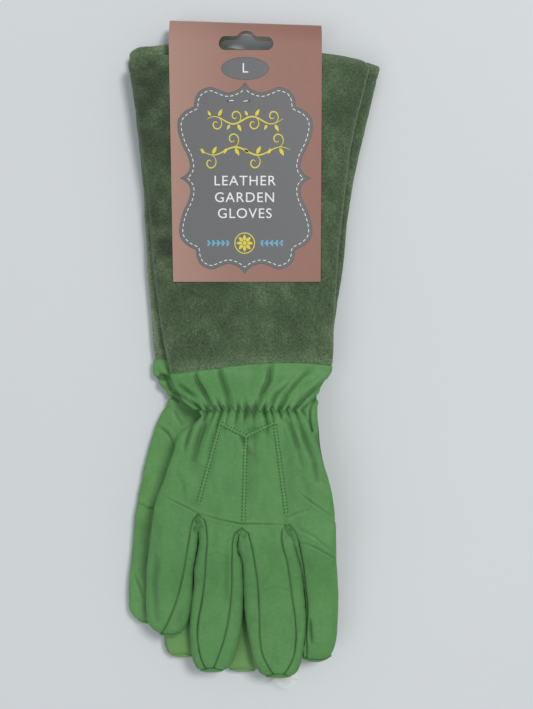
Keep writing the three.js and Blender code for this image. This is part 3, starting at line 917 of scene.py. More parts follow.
def dress(points, centre, relief, seams, roll):
    """Adds relief along the normals and rolls the edges named in `seams` into their seams.

    The second result is the painted shade of each point, from 0 to 1: hollows and the leather beside
    seams are painted darker.
    """
    normal = surface_normals(points, centre)
    height = relief(points[..., 0], points[..., 1])
    # painted shade: the relief's hollows, narrow and broad, are painted darker
    hollows = 0.75 * (soften(height, 4) - height) + 0.38 * (soften(height, 14) - height)
    shade = np.clip(hollows, 0, 0.7)
    for seam in seams:
        axis = 0 if seam == "bottom" else 1
        flipped = seam in ("bottom", "right")
        ordered = np.flip(points, axis) if flipped else points
        d = arc_distance(ordered, axis)
        d = np.flip(d, axis) if flipped else d
        height = height - roll * np.exp(-(d / SEAM_ROLL) ** 2)
        # painted shade beside the seam, where the leather dips into it
        shade = np.maximum(shade, 0.7 * np.exp(-(d / SEAM_SHADE) ** 2))
    return points + normal * height[..., None], shade


# ---------------------------------------------------------------- building one glove

def columns_through(tube, crotches, per_finger):
    """Stations across the back, from the left edge to the right, passing through each crotch."""
    stops = [math.pi - EDGE] + [float(tube.station(x, y)) for x, y in crotches] + [EDGE]
    parts = [np.linspace(a, b, per_finger + 1)[:-1] for a, b in zip(stops[:-1], stops[1:])]
    return np.concatenate(parts + [[stops[-1]]])


# Where each finger's bend would start, and the length of the bend; attach() only passes them through
# to_frame(), so no piece bends.
BEND_STARTS = {"little": -96.5, "ring": -103.5, "middle": -103.5, "index": -103.0}
BEND_REACH = 16.0


def attach(obj, glove, kind, *nodes, slot):
    """Puts a piece in place and makes it stand for its CAD nodes: the lower glove's pieces and the cuffs
    ride the root body, the thumbs ride the hand, and the hand's and fingers' pieces are baked in place.
    """
    if glove["side"] == "left" or kind == "cuff":
        return settle(obj, slot, *nodes)
    if kind == "hand":
        to_frame([0, -8, 18])
        to_frame([0, -34, 18])
        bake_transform(obj)
    elif kind == "rigid_hand":
        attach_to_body(obj, HAND)
    else:
        start = BEND_STARTS[kind]
        to_frame([0, start, 30])
        to_frame([0, start - BEND_REACH, 30])
        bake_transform(obj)
    if nodes:
        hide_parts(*nodes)


def panel(name, glove, kind, points, centre, node=None, thickness=LEATHER, material=None, slot=None,
          **marks):
    """A glove's panel from a grid of its outside: leather in the glove's own colour unless told."""
    obj = shell(f"{glove['side']}_{name}", lay(points, glove), lay(centre, glove), thickness,
                material or glove["leather"], marks)
    nodes = [f"{glove['side']}_{node}"] if node else []
    attach(obj, glove, kind, *nodes, slot=slot or glove["leather_slot"])
    return obj


def sew(name, glove, kind, paths, pitch, length, radius, node=None, sink=0.0):
    """Rows of stitches in dark green thread along paths in the drawing."""
    obj = stitch_row(paths, pitch, length, radius, f"{glove['side']}_{name}", thread, sink)
    nodes = [f"{glove['side']}_{node}"] if node else []
    attach(obj, glove, kind, *nodes, slot="thread")


def around_half(start, columns):
    """Stations over one half of a tube, from its -X edge at `start` (pi or -pi) to its +X edge."""
    sweep = np.linspace(start, 0, columns)
    return (sweep - np.sign(start) * EDGE * np.linspace(1, -1, columns))[None, :]


def keep_clear(points, half, glove):
    """Heights of a cuff panel held off the card's flaps and off the other glove."""
    z = points[..., 2]
    if glove["side"] == "right":
        limit = CARD_FRONT_Z - CARD_THICK / 2 - CARD_GAP
        return np.minimum(z, limit) if half == "back" else np.maximum(z, UPPER_BOTTOM_Z)
    limit = CARD_BACK_Z + CARD_THICK / 2 + CARD_GAP
    return np.maximum(z, limit) if half == "back" else np.minimum(z, LOWER_TOP_Z)


HEM = 7.8       # the hem's stitches from the cuff's mouth
TUCK = 2.6      # how far the leather runs up inside the suede cuff


def build_cuff(glove):
    """The cuff's two suede halves with their stitched hems; they are worn in places, and the upper cuff
    carries painted shade.
    """
    side = glove["side"]
    tube = cuff_tube(glove)
    rows, columns = int(170 * glove["detail"]), int(130 * glove["detail"])
    down = np.linspace(0, 1, rows)[:, None]
    seed = glove["cuff_seed"]
    for half, start in (("back", math.pi), ("palm", -math.pi)):
        around = around_half(start, columns)
        top_x = tube.point(around, MOUTH_ROW)[..., 0]
        low_x = tube.point(around, SEAM_ROW)[..., 0]
        y = mix(glove["mouth"](top_x), glove["seam"](low_x) - 0.3, down)
        points = tube.point(around, y)
        hem = glove["mouth"](top_x) - y

        def relief(x, yy):
            long_wave = 0.55 * noise(x, yy * 0.5, 34, seed) + 0.3 * noise(x, yy, 15, seed + 1)
            step = 0.16 * (1 - smooth(6.9, 8.3, hem)) - 0.30 * np.exp(-((hem - HEM) / 0.6) ** 2)
            pinch = -0.7 * np.exp(-(hem / 0.9) ** 2)
            seam_edge = -0.5 * np.exp(-((yy - glove["seam"](x)) / 0.8) ** 2)
            return long_wave + step + pinch + seam_edge + 0.12 * noise(x, yy, 4, seed + 2)

        points, crease = dress(points, tube.centre(y), relief, ("left", "right"), roll=0.7)
        points[..., 2] = keep_clear(points, half, glove)
        from_edge = np.minimum(arc_distance(points, 1), np.flip(arc_distance(np.flip(points, 1), 1), 1))
        patchy = 0.65 + 0.5 * noise(points[..., 0], points[..., 1], 6, seed)
        edge_wear = 0.75 * np.exp(-(from_edge / 2.6) ** 2)
        if side == "left":
            edge_wear = np.maximum(edge_wear, 1.1 * smooth(45, 56, -points[..., 0]))
        worn = edge_wear * patchy
        worn = np.maximum(worn, 0.55 * patchy * np.exp(-((y - glove["seam"](low_x)) / 5.0) ** 2))
        worn = np.maximum(worn, 0.5 * patchy * np.exp(-(hem / 5.0) ** 2))
        # painted shade on the upper cuff: darker towards the mouth, heavier on its left half, in patches
        # and less where worn
        sides = np.where(points[..., 0] < 0, 0.95, 0.40)
        dark = sides * smooth(5, 60, y) * patchy * (1 - worn) if side == "right" else 0 * worn
        thickness = SUEDE + 0.5 * (1 - smooth(7.4, 8.2, hem))
        panel(f"cuff_{half}_suede", glove, "cuff", points, tube.centre(y), f"cuff_{half}_panel",
              thickness, suede, "suede", worn=np.clip(worn, 0, 1), crease=np.clip(dark, 0, 1))
        row = int(np.argmin(np.abs(hem[:, columns // 2] - HEM)))
        sew(f"cuff_{half}_hem_stitches", glove, "cuff", [lay(points, glove)[row, 3:-3]], 3.1, 1.7, 0.22)


def build_hand(glove):
    """The back of the hand and the palm; gives what the fingers need to grow out of them."""
    tube = hand_tube(glove)
    per_finger = int(44 * glove["detail"])
    back_columns = columns_through(tube, CROTCHES, per_finger)
    panels = (("back_of_hand", back_columns), ("palm", -back_columns))
    rows = int(210 * glove["detail"])
    down = np.linspace(0, 1, rows)[:, None]
    for name, columns in panels:
        around = columns[None, :]
        top_x = tube.point(around, TUCK_ROW)[..., 0]
        low_x = tube.point(around, KNUCKLE_ROW)[..., 0]
        y = mix(glove["seam"](top_x) + TUCK, KNUCKLES(low_x), down)
        points = tube.point(around, y)
        relief = relief_of(glove, name == "back_of_hand", 71)
        under_cuff = lambda x, yy: relief(x, yy) - 1.9 * smooth(-0.9, 0.7, yy - glove["seam"](x))
        points, crease = dress(points, tube.centre(y), under_cuff, ("left", "right"), roll=0.4)
        obj = panel(f"{name}_leather", glove, "hand", points, tube.centre(y), name, crease=crease)
        if name == "back_of_hand":
            hand_back, start_y = obj, y[-1]
    build_elastic(glove, tube)
    return tube, hand_back, back_columns, start_y, per_finger


def build_elastic(glove, tube):
    around = np.linspace(0.84 * math.pi, 0.16 * math.pi, 60)[None, :]
    y = np.linspace(GATHER_Y + 3, GATHER_Y - 3, 8)[:, None] + 0 * around
    points = tube.point(around, y)
    normal = surface_normals(points, tube.centre(y))
    pleat = 0.35 * np.sin(points[..., 0] * 2 * np.pi / 4.8)
    points = points - normal * (LEATHER + 3.2 + pleat)[..., None]
    panel("wrist_elastic_tape", glove, "hand", points, tube.centre(y), "wrist_elastic",
          0.7, elastic, "elastic")


def paleness(points, glove):
    """How yellow and pale the leather is: only the lower glove's fingertips are."""
    pale = smooth(158, 192, -points[..., 1])
    return pale if glove["side"] == "left" else 0 * pale


FRONT_SEAM = 0.35   # where the front seams lie, as a share of the back seams' way round


def build_finger(glove, name, tube, hand, columns, start_y):
    """Back, front and side strips of a finger, growing smoothly out of the hand's section."""
    edge, tip = finger_place(glove, name)
    rows = int(150 * glove["detail"])
    down = 1 - (1 - np.linspace(0, 1, rows)[:, None]) ** 1.4
    share = np.linspace(0, 1, len(columns))[None, :]
    y = mix(start_y[None, :], tip + 0.06, down)
    grown = start_y[None, :] - y
    seams = {key: "seam_" + key in FINGER_SHAPES[name] for key in ("left", "right")}
    pieces = {}
    for half, sign in (("back", 1), ("front", -1)):
        ends = {"left": math.pi - EDGE, "right": EDGE}
        for key, rim in (("left", math.pi), ("right", 0.0)):
            if seams[key]:
                place = tube.station(edge("seam_" + key)(y), y)
                if half == "front":
                    place = mix(place, mix(rim, place, FRONT_SEAM), smooth(0, 12, grown))
                ends[key] = place
        own = tube.point(sign * mix(ends["left"], ends["right"], share), y)
        from_hand = hand.point(sign * columns[None, :], y)
        points = own.copy()
        points[..., 0] = mix(from_hand[..., 0], own[..., 0], smooth(0, 3.5, grown))
        points[..., 2] = mix(from_hand[..., 2], own[..., 2], smooth(0, 13, grown))
        relief = relief_of(glove, half == "back", 81)
        ends_in = lambda x, yy: relief(x, yy) * smooth(0, 5, yy - tip)
        rolled = [key for key in seams if seams[key]]
        bare = points
        points, crease = dress(points, tube.centre(y), ends_in, rolled or ["bottom"], roll=0.62)
        panel(f"{name}_finger_{half}_leather", glove, name, points, tube.centre(y),
              f"{name}_finger_{half}", crease=crease, pale=paleness(points, glove))
        pieces[half] = (points, bare)

    paths = []
    for key, column in (("left", 0), ("right", -1)):
        if not seams[key]:
            continue
        top = pieces["back"][1][:, column]
        low = pieces["front"][1][:, column]
        y_edge = top[:, 1][:, None]
        turn = np.linspace(0, 1, int(18 * glove["detail"]) + 4)[None, :]
        upper_place = tube.station(top[:, :1], y_edge)
        lower_place = tube.station(low[:, :1], y_edge)
        if key == "left":
            around = mix(upper_place, 2 * math.pi - lower_place, turn)
        else:
            around = mix(upper_place, -lower_place, turn)
        own = tube.point(around, y_edge)
        own = own + (top[:, None] - own[:, :1]) * (1 - turn[..., None])
        own = own + (low[:, None] - own[:, -1:]) * turn[..., None]
        from_crotch = start_y[column] - y_edge
        web = 0.8 + 0.12 * from_crotch
        depth = (own[:, :1, 2] - own[..., 2]) * glove["back_sign"]
        depth = mix(np.minimum(depth, web), depth, smooth(0.5, 1.0, turn))
        own[..., 2] = own[:, :1, 2] - depth * glove["back_sign"]
        pucker = np.exp(-(from_crotch / 11.0) ** 2)

        def relief(x, yy):
            crumple = pucker * (0.9 * noise(x * 1.6, yy, 4.2, 95) + 0.4 * noise(x * 2, yy, 2.2, 96))
            height = 0.3 * noise(x, yy * 0.6, 7, 91) + 0.15 * noise(x, yy, 3.4, 92) + crumple
            return height * smooth(0, 5, yy - tip)

        points, crease = dress(own, tube.centre(y_edge), relief, ("left", "right"), roll=0.62)
        # painted shade down the middle of each side strip, where it turns into the valley between
        # fingers
        crease = np.maximum(crease, 0.25 * smooth(0.30, 0.55, turn) * smooth(1.0, 0.7, turn))
        panel(f"{name}_finger_{key}_side", glove, name, points, tube.centre(y_edge),
              f"{name}_finger_{key}_strip", crease=crease, pale=paleness(points, glove))
        paths.append(lay(pieces["back"][0][:-2, column], glove))
    sew(f"{name}_finger_stitches", glove, name, paths, 1.9, 1.5, 0.27)
    build_tip(glove, name, tube, tip)


TIP_LIPS = {"little": (6.5, 1.2), "ring": (6.8, 2.8), "middle": (7.6, 2.8), "index": (9.5, 1.6)}


def outline_rise(tube, tip, x):
    """How far above the tip's lowest point the finger's outline lies at each x."""
    y = tip + np.linspace(0, 9, 200)
    left, right = tube.left(y), tube.right(y)
    middle = (left[0] + right[0]) / 2
    return np.where(x < middle, np.interp(-x, -left, y), np.interp(x, right, y)) - tip


def build_tip(glove, name, tube, tip):
    """The narrow lip of leather where the finger's front is turned over its tip, with its stitches."""
    half_wide, reach = TIP_LIPS[name]
    across = np.linspace(-1, 1, 41)[None, :]
    turn = np.linspace(-1, 1, 29)[:, None]
    lens = 0.3 + reach * (1 - across ** 2)
    ends_x = (float(tube.left(tip + 0.3)) + float(tube.right(tip + 0.3))) / 2
    x = ends_x + half_wide * across
    rim = tip + 0.06 + outline_rise(tube, tip, x)
    y = rim + lens * np.abs(turn) ** 1.7
    x = x + 0 * y
    station = tube.station(x, y) * np.where(turn <= 0, 1, -1)
    points = tube.point(station, y)
    normal = surface_normals(points, tube.centre(y + 6))
    points = points + normal * 0.5
    panel(f"{name}_fingertip_lip", glove, name, points, tube.centre(y + 6), thickness=0.7,
          pale=paleness(points, glove))
    row_y = y[0] + 0.25
    row = tube.point(tube.station(x[0], row_y), row_y) + np.array([0, 0, 0.1 * glove["back_sign"]])
    sew(f"{name}_fingertip_stitches", glove, name, [lay(row[2:-2], glove)], 1.7, 1.35, 0.26)


def build_thumb(glove):
    """The thumb, folded flat against the palm."""
    drop = lambda y: mix(HAND_HALF - 1.2, HAND_HALF + 0.3 + THUMB_HALF, smooth(44, 62, -y))
    tip, rounding = -108.0, 12.0
    middle_x = profile((-43, 23.5), (-60, 22.5), (-108, 16))
    wide = profile((-43, 11), (-50, 13), (-62, 13.6), (-85, 13), (-108, 11.6))
    into = lambda y: np.clip((tip + rounding - y) / rounding, 0, 0.985)
    narrow = lambda y: np.sqrt(1 - into(y) ** 2)
    tube = Tube(lambda y: middle_x(y) - wide(y) * narrow(y), lambda y: middle_x(y) + wide(y) * narrow(y),
                lambda y: THUMB_HALF * np.maximum(narrow(y), 0.3),
                lambda y: glove["hand_z"] - glove["back_sign"] * drop(y), 2.7, glove["back_sign"], 5)
    rows, columns = int(80 * glove["detail"]), int(44 * glove["detail"])
    y = (tip + 65 * (1 - np.linspace(0, 1, rows) ** 0.9))[:, None] + np.zeros((1, columns))
    for half, start in (("back", math.pi), ("front", -math.pi)):
        points = tube.point(around_half(start, columns), y)
        relief = lambda x, yy: 0.3 * plain_relief(x, yy, 111)
        points, crease = dress(points, tube.centre(y), relief, ("left", "right"), roll=0.4)
        panel(f"thumb_{half}_leather", glove, "rigid_hand", points, tube.centre(y), f"thumb_{half}",
              0.9, crease=crease)


def build_glove(glove):
    build_cuff(glove)
    hand, hand_back, columns, start_y, per_finger = build_hand(glove)
    for number, name in enumerate(FINGERS):
        window = slice(number * per_finger, (number + 1) * per_finger + 1)
        build_finger(glove, name, finger_tube(glove, name), hand, columns[window], start_y[window])
    build_thumb(glove)
    return hand_back


def build_back_stitches(hand_back):
    """Double rows on the points, and the zigzag over the wrist elastic, on the upper glove."""
    paths = []
    for (ax, ay), (bx, by) in POINT_ROWS:
        length = math.hypot(bx - ax, by - ay)
        nx, ny = -(by - ay) / length, (bx - ax) / length
        for side in (-0.95, 0.95):
            share = np.linspace(0.01, 0.99, 60)
            xy = [(mix(ax, bx, t) + side * nx, mix(ay, by, t) + side * ny) for t in share]
            paths.append(drape(hand_back, xy))
    sew("points_stitches", UPPER, "hand", paths, 2.0, 0.95, 0.42, "points_stitching", 0.08)

    across = np.linspace(-33, 25, 240)
    wave = 2 * np.abs(((across + 33) / 4.8) % 1 - 0.5)
    zigzag = list(zip(across, GATHER_Y - 2.2 + 4.4 * wave))
    sew("elastic_zigzag", UPPER, "hand", [drape(hand_back, zigzag)], 1.25, 1.05, 0.28, sink=0.02)
    sew("wrist_seam_stitches", UPPER, "hand", [drape(hand_back, SIDE_SEAM)], 1.9, 1.4, 0.24)


build_glove(LOWER)
upper_back = build_glove(UPPER)
build_back_stitches(upper_back)


# ---------------------------------------------------------------- header card

def arc_points(cx, cy, rx, ry, start, end, count):
    angles = np.radians(np.linspace(start, end, count))
    return [(cx + rx * math.cos(a), cy + ry * math.sin(a)) for a in angles]


def oval_points(cx, cy, rx, ry, count=48):
    return arc_points(cx, cy, rx, ry, 0, 360, count + 1)[:-1]


def spline(points, per_span):
    """A Catmull-Rom curve through plan points, its ends included."""
    p = np.array(points, float)
    p = np.concatenate([[2 * p[0] - p[1]], p, [2 * p[-1] - p[-2]]])
    out = []
    for a, b, c, d in zip(p[:-3], p[1:-2], p[2:-1], p[3:]):
        for t in np.linspace(0, 1, per_span, endpoint=False):
            out.append(0.5 * (2 * b + (c - a) * t + (2 * a - 5 * b + 4 * c - d) * t ** 2
                              + (3 * b - 3 * c + d - a) * t ** 3))
    return [tuple(q) for q in out] + [tuple(p[-2])]


def slot_outline(y, up):
    """A euro hanging slot: a long round-ended slot whose upper side swells into a round bump."""
    reach, r = (SLOT_LONG - SLOT_WIDE) / 2, SLOT_WIDE / 2
    outline = arc_points(SLOT_X - reach, 0, r, r, 90, 270, 12)
    outline += arc_points(SLOT_X + reach, 0, r, r, -90, 90, 12)
    bump = spline(((8.2, r), (5.6, r + 0.4), (4.0, r + 2.0), (2.3, r + 3.3), (0, r + 3.8)), 4)
    outline += [(SLOT_X + a, b) for a, b in bump]
    outline += [(SLOT_X - a, b) for a, b in bump[-2::-1]]
    return [(a, y + up * b) for a, b in outline]


def card_bend(v):
    """Folds the flat card: v.y runs along the sheet from the front flap's low edge, v.z is height."""
    t = (v.y - CARD_BEND_Y) / BEND_ARC
    if t <= 0:
        y, z, normal = v.y, CARD_FRONT_Z, (0.0, 1.0)
    elif t >= 1:
        y, z, normal = 2 * CARD_BEND_Y + BEND_ARC - v.y, CARD_BACK_Z, (0.0, -1.0)
    else:
        long = BEND_LONG - FOLD_SLANT * (v.x - CARD_MID_X)
        s, c = math.sin(math.pi * t), math.cos(math.pi * t)
        y, z = CARD_BEND_Y + long * s, CARD_FRONT_Z - BEND_HIGH * (1 - c)
        size = math.hypot(s * BEND_HIGH, c * long)
        normal = (s * BEND_HIGH / size, c * long / size)
    low = 1 - np.clip((y - CARD_LOW_Y) / (CARD_BEND_Y - CARD_LOW_Y), 0, 1)
    half = (CARD_RIGHT - CARD_LEFT) / 2
    pull = TAPER["left"] if v.x < CARD_MID_X else TAPER["right"]
    x = v.x + (CARD_MID_X - v.x) / half * pull * low
    return Vector((x, y + normal[0] * v.z, z + normal[1] * v.z))


def plates(name, shapes, bottom, top, face_material, edge_material=None, cuts=(), nodes=()):
    """Flat plates on the card's sheet, each an outline with any holes, bent as the card is."""
    work = bmesh.new()
    for k, outlines in enumerate(shapes):
        loops = [[Vector((x, y, 0)) for x, y in outline] for outline in outlines]
        flat = [v for loop in loops for v in loop]
        over = top + 0.004 * (k % 9)
        low = [work.verts.new((v.x, v.y, bottom)) for v in flat]
        high = [work.verts.new((v.x, v.y, over)) for v in flat]
        for tri in tessellate_polygon(loops):
            work.faces.new([high[i] for i in tri])
            inside = work.faces.new([low[i] for i in reversed(tri)])
            inside.material_index = 1 if edge_material else 0
        first = 0
        for loop in loops:
            for i in range(len(loop)):
                a, b = first + i, first + (i + 1) % len(loop)
                wall = work.faces.new([low[a], low[b], high[b], high[a]])
                wall.material_index = 1 if edge_material else 0
            first += len(loop)
    for y in cuts:
        geometry = work.verts[:] + work.edges[:] + work.faces[:]
        bmesh.ops.bisect_plane(work, geom=geometry, plane_co=(0, y, 0), plane_no=(0, 1, 0))
    for v in work.verts:
        v.co = to_frame(card_bend(v.co))
    bmesh.ops.recalc_face_normals(work, faces=work.faces)
    mesh = bpy.data.meshes.new(name)
    work.to_mesh(mesh)
    work.free()
    mesh.shade_smooth()
    mesh.set_sharp_from_angle(angle=math.radians(35))
    obj = link_mesh(mesh, *[material for material in (face_material, edge_material) if material])
    settle(obj, "card", *nodes)


def ink(name, shapes, layer, material):
    """Printed shapes as a thin film on the card's front; a higher layer lies on the one below."""
    bottom = CARD_THICK / 2 - INK_SINK + layer * INK
    outlines = [shape if isinstance(shape[0], list) else [shape] for shape in shapes]
    plates(name, outlines, bottom, bottom + INK, material)


def ribbon(path, width, taper=True):
    """The outline of a pen stroke along a plan path, thin at its ends when tapered."""
    path = np.array(path, float)
    along = np.gradient(path, axis=0)
    along /= np.linalg.norm(along, axis=1, keepdims=True) + 1e-9
    side = np.stack([-along[:, 1], along[:, 0]], -1)
    share = np.linspace(0, 1, len(path))
    fat = width / 2 * (0.25 + 0.75 * np.sin(math.pi * share) if taper else np.ones(len(path)))
    left, right = path + side * fat[:, None], path - side * fat[:, None]
    return [tuple(p) for p in left] + [tuple(p) for p in right[::-1]]


def leaf(x, y, angle, length, width):
    """A pointed leaf outline from its stalk end."""
    c, s = math.cos(math.radians(angle)), math.sin(math.radians(angle))
    share = np.linspace(0, 1, 9)
    half = width / 2 * np.sin(math.pi * share ** 0.8)
    rim = [(length * a, b) for a, b in zip(share, half)]
    rim += [(length * a, -b) for a, b in zip(share[-2:0:-1], half[-2:0:-1])]
    return [(x + a * c - b * s, y + a * s + b * c) for a, b in rim]


OVAL_X, OVAL_Y = -6.0, 172.1
PLAQUE_X, PLAQUE_Y = -6.2, 106.2
PLAQUE_SHOULDER = ((0, 57.5), (-3.6, 53.6), (-9.7, 51.4), (-15.5, 53.2), (-20.3, 54.8), (-26.5, 52.4),
                   (-29.4, 47.6), (-29.9, 43.2))
PLAQUE_FLANK = ((-29.9, 43.2), (-35.2, 40.4), (-39.2, 35.8), (-39.9, 29.5), (-37.6, 20.6), (-33.9, 12.6),
                (-32.9, 6.4), (-35.2, 2.4), (-39.1, 0))


def plaque_outline():
    quarter = spline(PLAQUE_SHOULDER, 6)[:-1] + spline(PLAQUE_FLANK, 6)
    left = quarter + [(x, -y) for x, y in quarter[-2::-1]]
    whole = left + [(-x, y) for x, y in left[-2:0:-1]]
    return [(PLAQUE_X + 1.03 * x, PLAQUE_Y + y) for x, y in whole]


def moved_in(outline, inset):
    """The closed rim of an outline, and the same rim moved inwards."""
    rim = np.array(outline + outline[:1])
    along = np.gradient(rim, axis=0)
    along /= np.linalg.norm(along, axis=1, keepdims=True)
    return rim, rim + inset * np.stack([-along[:, 1], along[:, 0]], -1)


def dashes(outline, inset, pitch, length, width):
    """Dashes along the inside of an outline, a fixed distance in from it."""
    rim, inner = moved_in(outline, inset)
    inner = inner[distance_to(inner[:, 0], inner[:, 1], rim)[0] > 0.96 * inset]
    steps = np.concatenate([[0], np.cumsum(np.hypot(*np.diff(inner, axis=0).T))])
    count = round(steps[-1] / pitch)
    marks = []
    for k in range(count):
        s = (k + 0.2) * steps[-1] / count + np.linspace(0, length, 4)
        path = np.stack([np.interp(s, steps, inner[:, i]) for i in (0, 1)], -1)
        marks.append(ribbon(path, width, taper=False))
    return marks


def words(name, text, x, y, size, layer, material, spacing=1.0):
    """A centred line of plain lettering, laid on the card's front."""
    curve = bpy.data.curves.new(name, "FONT")
    curve.body = text
    curve.size = size
    curve.space_character = spacing
    curve.align_x, curve.align_y = "CENTER", "CENTER"
    curve.extrude = INK / 2
    mesh = mesh_of(curve)
    height = CARD_FRONT_Z + CARD_THICK / 2 - INK_SINK + (layer + 0.5) * INK
    for v in mesh.vertices:
        v.co = to_frame((x + v.co.x, y + v.co.y, height + v.co.z))
    settle(link_mesh(mesh, material), "card")


def vine(y, start, end, waves, height, phase, size):
    """A wavy stem with curled tendrils and leaves growing from alternate sides."""
    xs = np.linspace(start, end, 30 * waves)
    turn = phase + np.linspace(0, 2 * math.pi * waves, len(xs))
    stem = [(x, y + height * math.sin(a)) for x, a in zip(xs, turn)]
    marks = [ribbon(stem, 1.0)]
    for k in range(2 * waves):
        i = int((k + 0.5) / (2 * waves) * (len(stem) - 1))
        x, yy = stem[i]
        up = 1 if k % 2 else -1
        radii = np.linspace(size, size * 0.18, 30)
        angles = np.radians(np.linspace(-90, 330, 30))
        curl = [(x + 0.9 * r * math.cos(a), yy + up * (size + r * math.sin(a)))
                for r, a in zip(radii, angles)]
        marks.append(ribbon(curl, 0.8))
        marks.append(leaf(x + 0.3 * size, yy - up * 0.4, -up * 62, 1.1 * size, 0.45 * size))
        marks.append(leaf(x - 0.8 * size, yy - up * 0.6, -up * 118, 0.8 * size, 0.36 * size))
    return marks


def build_card():
    flap = CARD_BEND_Y - CARD_LOW_Y
    far = CARD_BEND_Y + BEND_ARC + flap
    sheet = [(CARD_LEFT, CARD_LOW_Y), (CARD_RIGHT, CARD_LOW_Y), (CARD_RIGHT, far), (CARD_LEFT, far)]
    back_slot_y = 2 * CARD_BEND_Y + BEND_ARC - SLOT_Y - BACK_SLOT_RISE
    holes = [slot_outline(SLOT_Y, 1), slot_outline(back_slot_y, -1)]
    cuts = list(np.arange(CARD_LOW_Y + 12, CARD_BEND_Y, 14.0))
    cuts += list(np.linspace(CARD_BEND_Y - 1, CARD_BEND_Y + BEND_ARC + 1, 48))
    cuts += list(np.arange(CARD_BEND_Y + BEND_ARC + 12, far, 14.0))
    plates("folded_header_card", [[sheet] + holes], -CARD_THICK / 2, CARD_THICK / 2,
           card_print, board, cuts, ["header_card"])

    outline = plaque_outline()
    ink("card_grey_plaque", [outline], 0, grey_ink)
    inside = [tuple(point) for point in moved_in(outline, 0.45)[1][:-1]]
    ink("card_grey_plaque_rim", [[outline, inside]], 1, dark_ink)
    ink("card_dashed_border", dashes(outline, 2.3, 3.3, 1.9, 0.42), 1, white_ink)
    oval = oval_points(OVAL_X, OVAL_Y, 14.4, 6.9)
    ink("card_size_oval", [oval], 0, grey_ink)
    ink("card_size_oval_rim", [[oval, oval_points(OVAL_X, OVAL_Y, 13.9, 6.4)]], 1, dark_ink)
    words("card_size_letter", "L", OVAL_X, OVAL_Y, 8.2, 1, white_ink)

    vines = vine(y=141.0, start=-29, end=17, waves=2, height=2.2, phase=0.4, size=4.4)
    vines += vine(y=122.5, start=-34, end=21, waves=2, height=2.4, phase=2.8, size=4.8)
    ink("card_yellow_vines", vines, 1, yellow_ink)
    for text, y in (("LEATHER", 104.4), ("GARDEN", 94.4), ("GLOVES", 84.8)):
        words(f"card_words_{text.lower()}", text, PLAQUE_X, y, 8.4, 1, white_ink, 1.12)
    emblem_x, emblem_y = PLAQUE_X - 0.1, 67.2
    ring = [oval_points(emblem_x, emblem_y, r, r) for r in (6.4, 5.8)]
    petals = [leaf(emblem_x + 1.3 * math.cos(a), emblem_y + 1.3 * math.sin(a), math.degrees(a), 4.0, 2.0)
              for a in np.linspace(0, 2 * math.pi, 9)[:-1]]
    heart = oval_points(emblem_x, emblem_y, 1.2, 1.2, 24)
    ink("card_yellow_daisy", [ring, heart] + petals, 1, yellow_ink)
    sprigs = []
    for way in (-1, 1):
        x0, x1 = emblem_x + way * 9, emblem_x + way * 24
        sprigs.append(ribbon([(mix(x0, x1, t), emblem_y) for t in np.linspace(0, 1, 12)], 0.6))
        for k in range(5):
            x = mix(x0, x1, (k + 0.3) / 5)
            for up in (-1, 1):
                sprigs.append(leaf(x, emblem_y, up * (52 if way > 0 else 128), 2.6, 1.1))
    ink("card_blue_sprigs", sprigs, 1, blue_ink)


def drawing_box(node):
    """The low and high corners of a CAD node's box, in drawing millimetres."""
    return [(np.array(corner) - ORIGIN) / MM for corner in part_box(node)]


def build_staple():
    """Flattened wire: crown behind the back flap, legs through the stack, ends bent over in front."""
    low, high = drawing_box("staple")
    r = 0.36
    y = (low[1] + high[1]) / 2
    left, right, bottom = low[0] + r, high[0] - r, low[2] + r
    top = CARD_FRONT_Z + CARD_THICK / 2 + 2 * INK + 0.9 * r
    clinch, round_off = 3.0, 0.7
    one = [
        (left + clinch, y + 0.25, top - 0.05),
        (left + clinch * 0.5, y + 0.1, top + 0.16),
        (left + round_off, y, top + 0.04),
        (left + 0.12, y, top - round_off * 0.75),
        (left, y, top - 2.0),
        (left, y, bottom + 2.0),
        (left + 0.15, y, bottom + round_off * 0.7),
        (left + round_off, y, bottom),
    ]
    other = [(left + right - a, y - (b - y), c) for a, b, c in one[::-1]]
    path = one + other
    curve = bpy.data.curves.new("bent_staple", "CURVE")
    curve.dimensions = "3D"
    curve.bevel_depth = r * MM
    curve.bevel_resolution = 3
    curve.use_fill_caps = True
    line = curve.splines.new("POLY")
    line.points.add(len(path) - 1)
    for point, place in zip(line.points, path):
        point.co = (*to_frame(place), 1)
    mesh = mesh_of(curve)
    mesh.shade_smooth()
    settle(link_mesh(mesh, steel), "steel", "staple")
    # painted shadow: dark ovals on the print where the staple's legs pierce the card, the holes' shade
    holes = [oval_points(x, y, 1.05, 0.75, 16) for x in (left, right)]
    ink("staple_hole_painted_shadows", holes, 1, hole_shadow_paint)


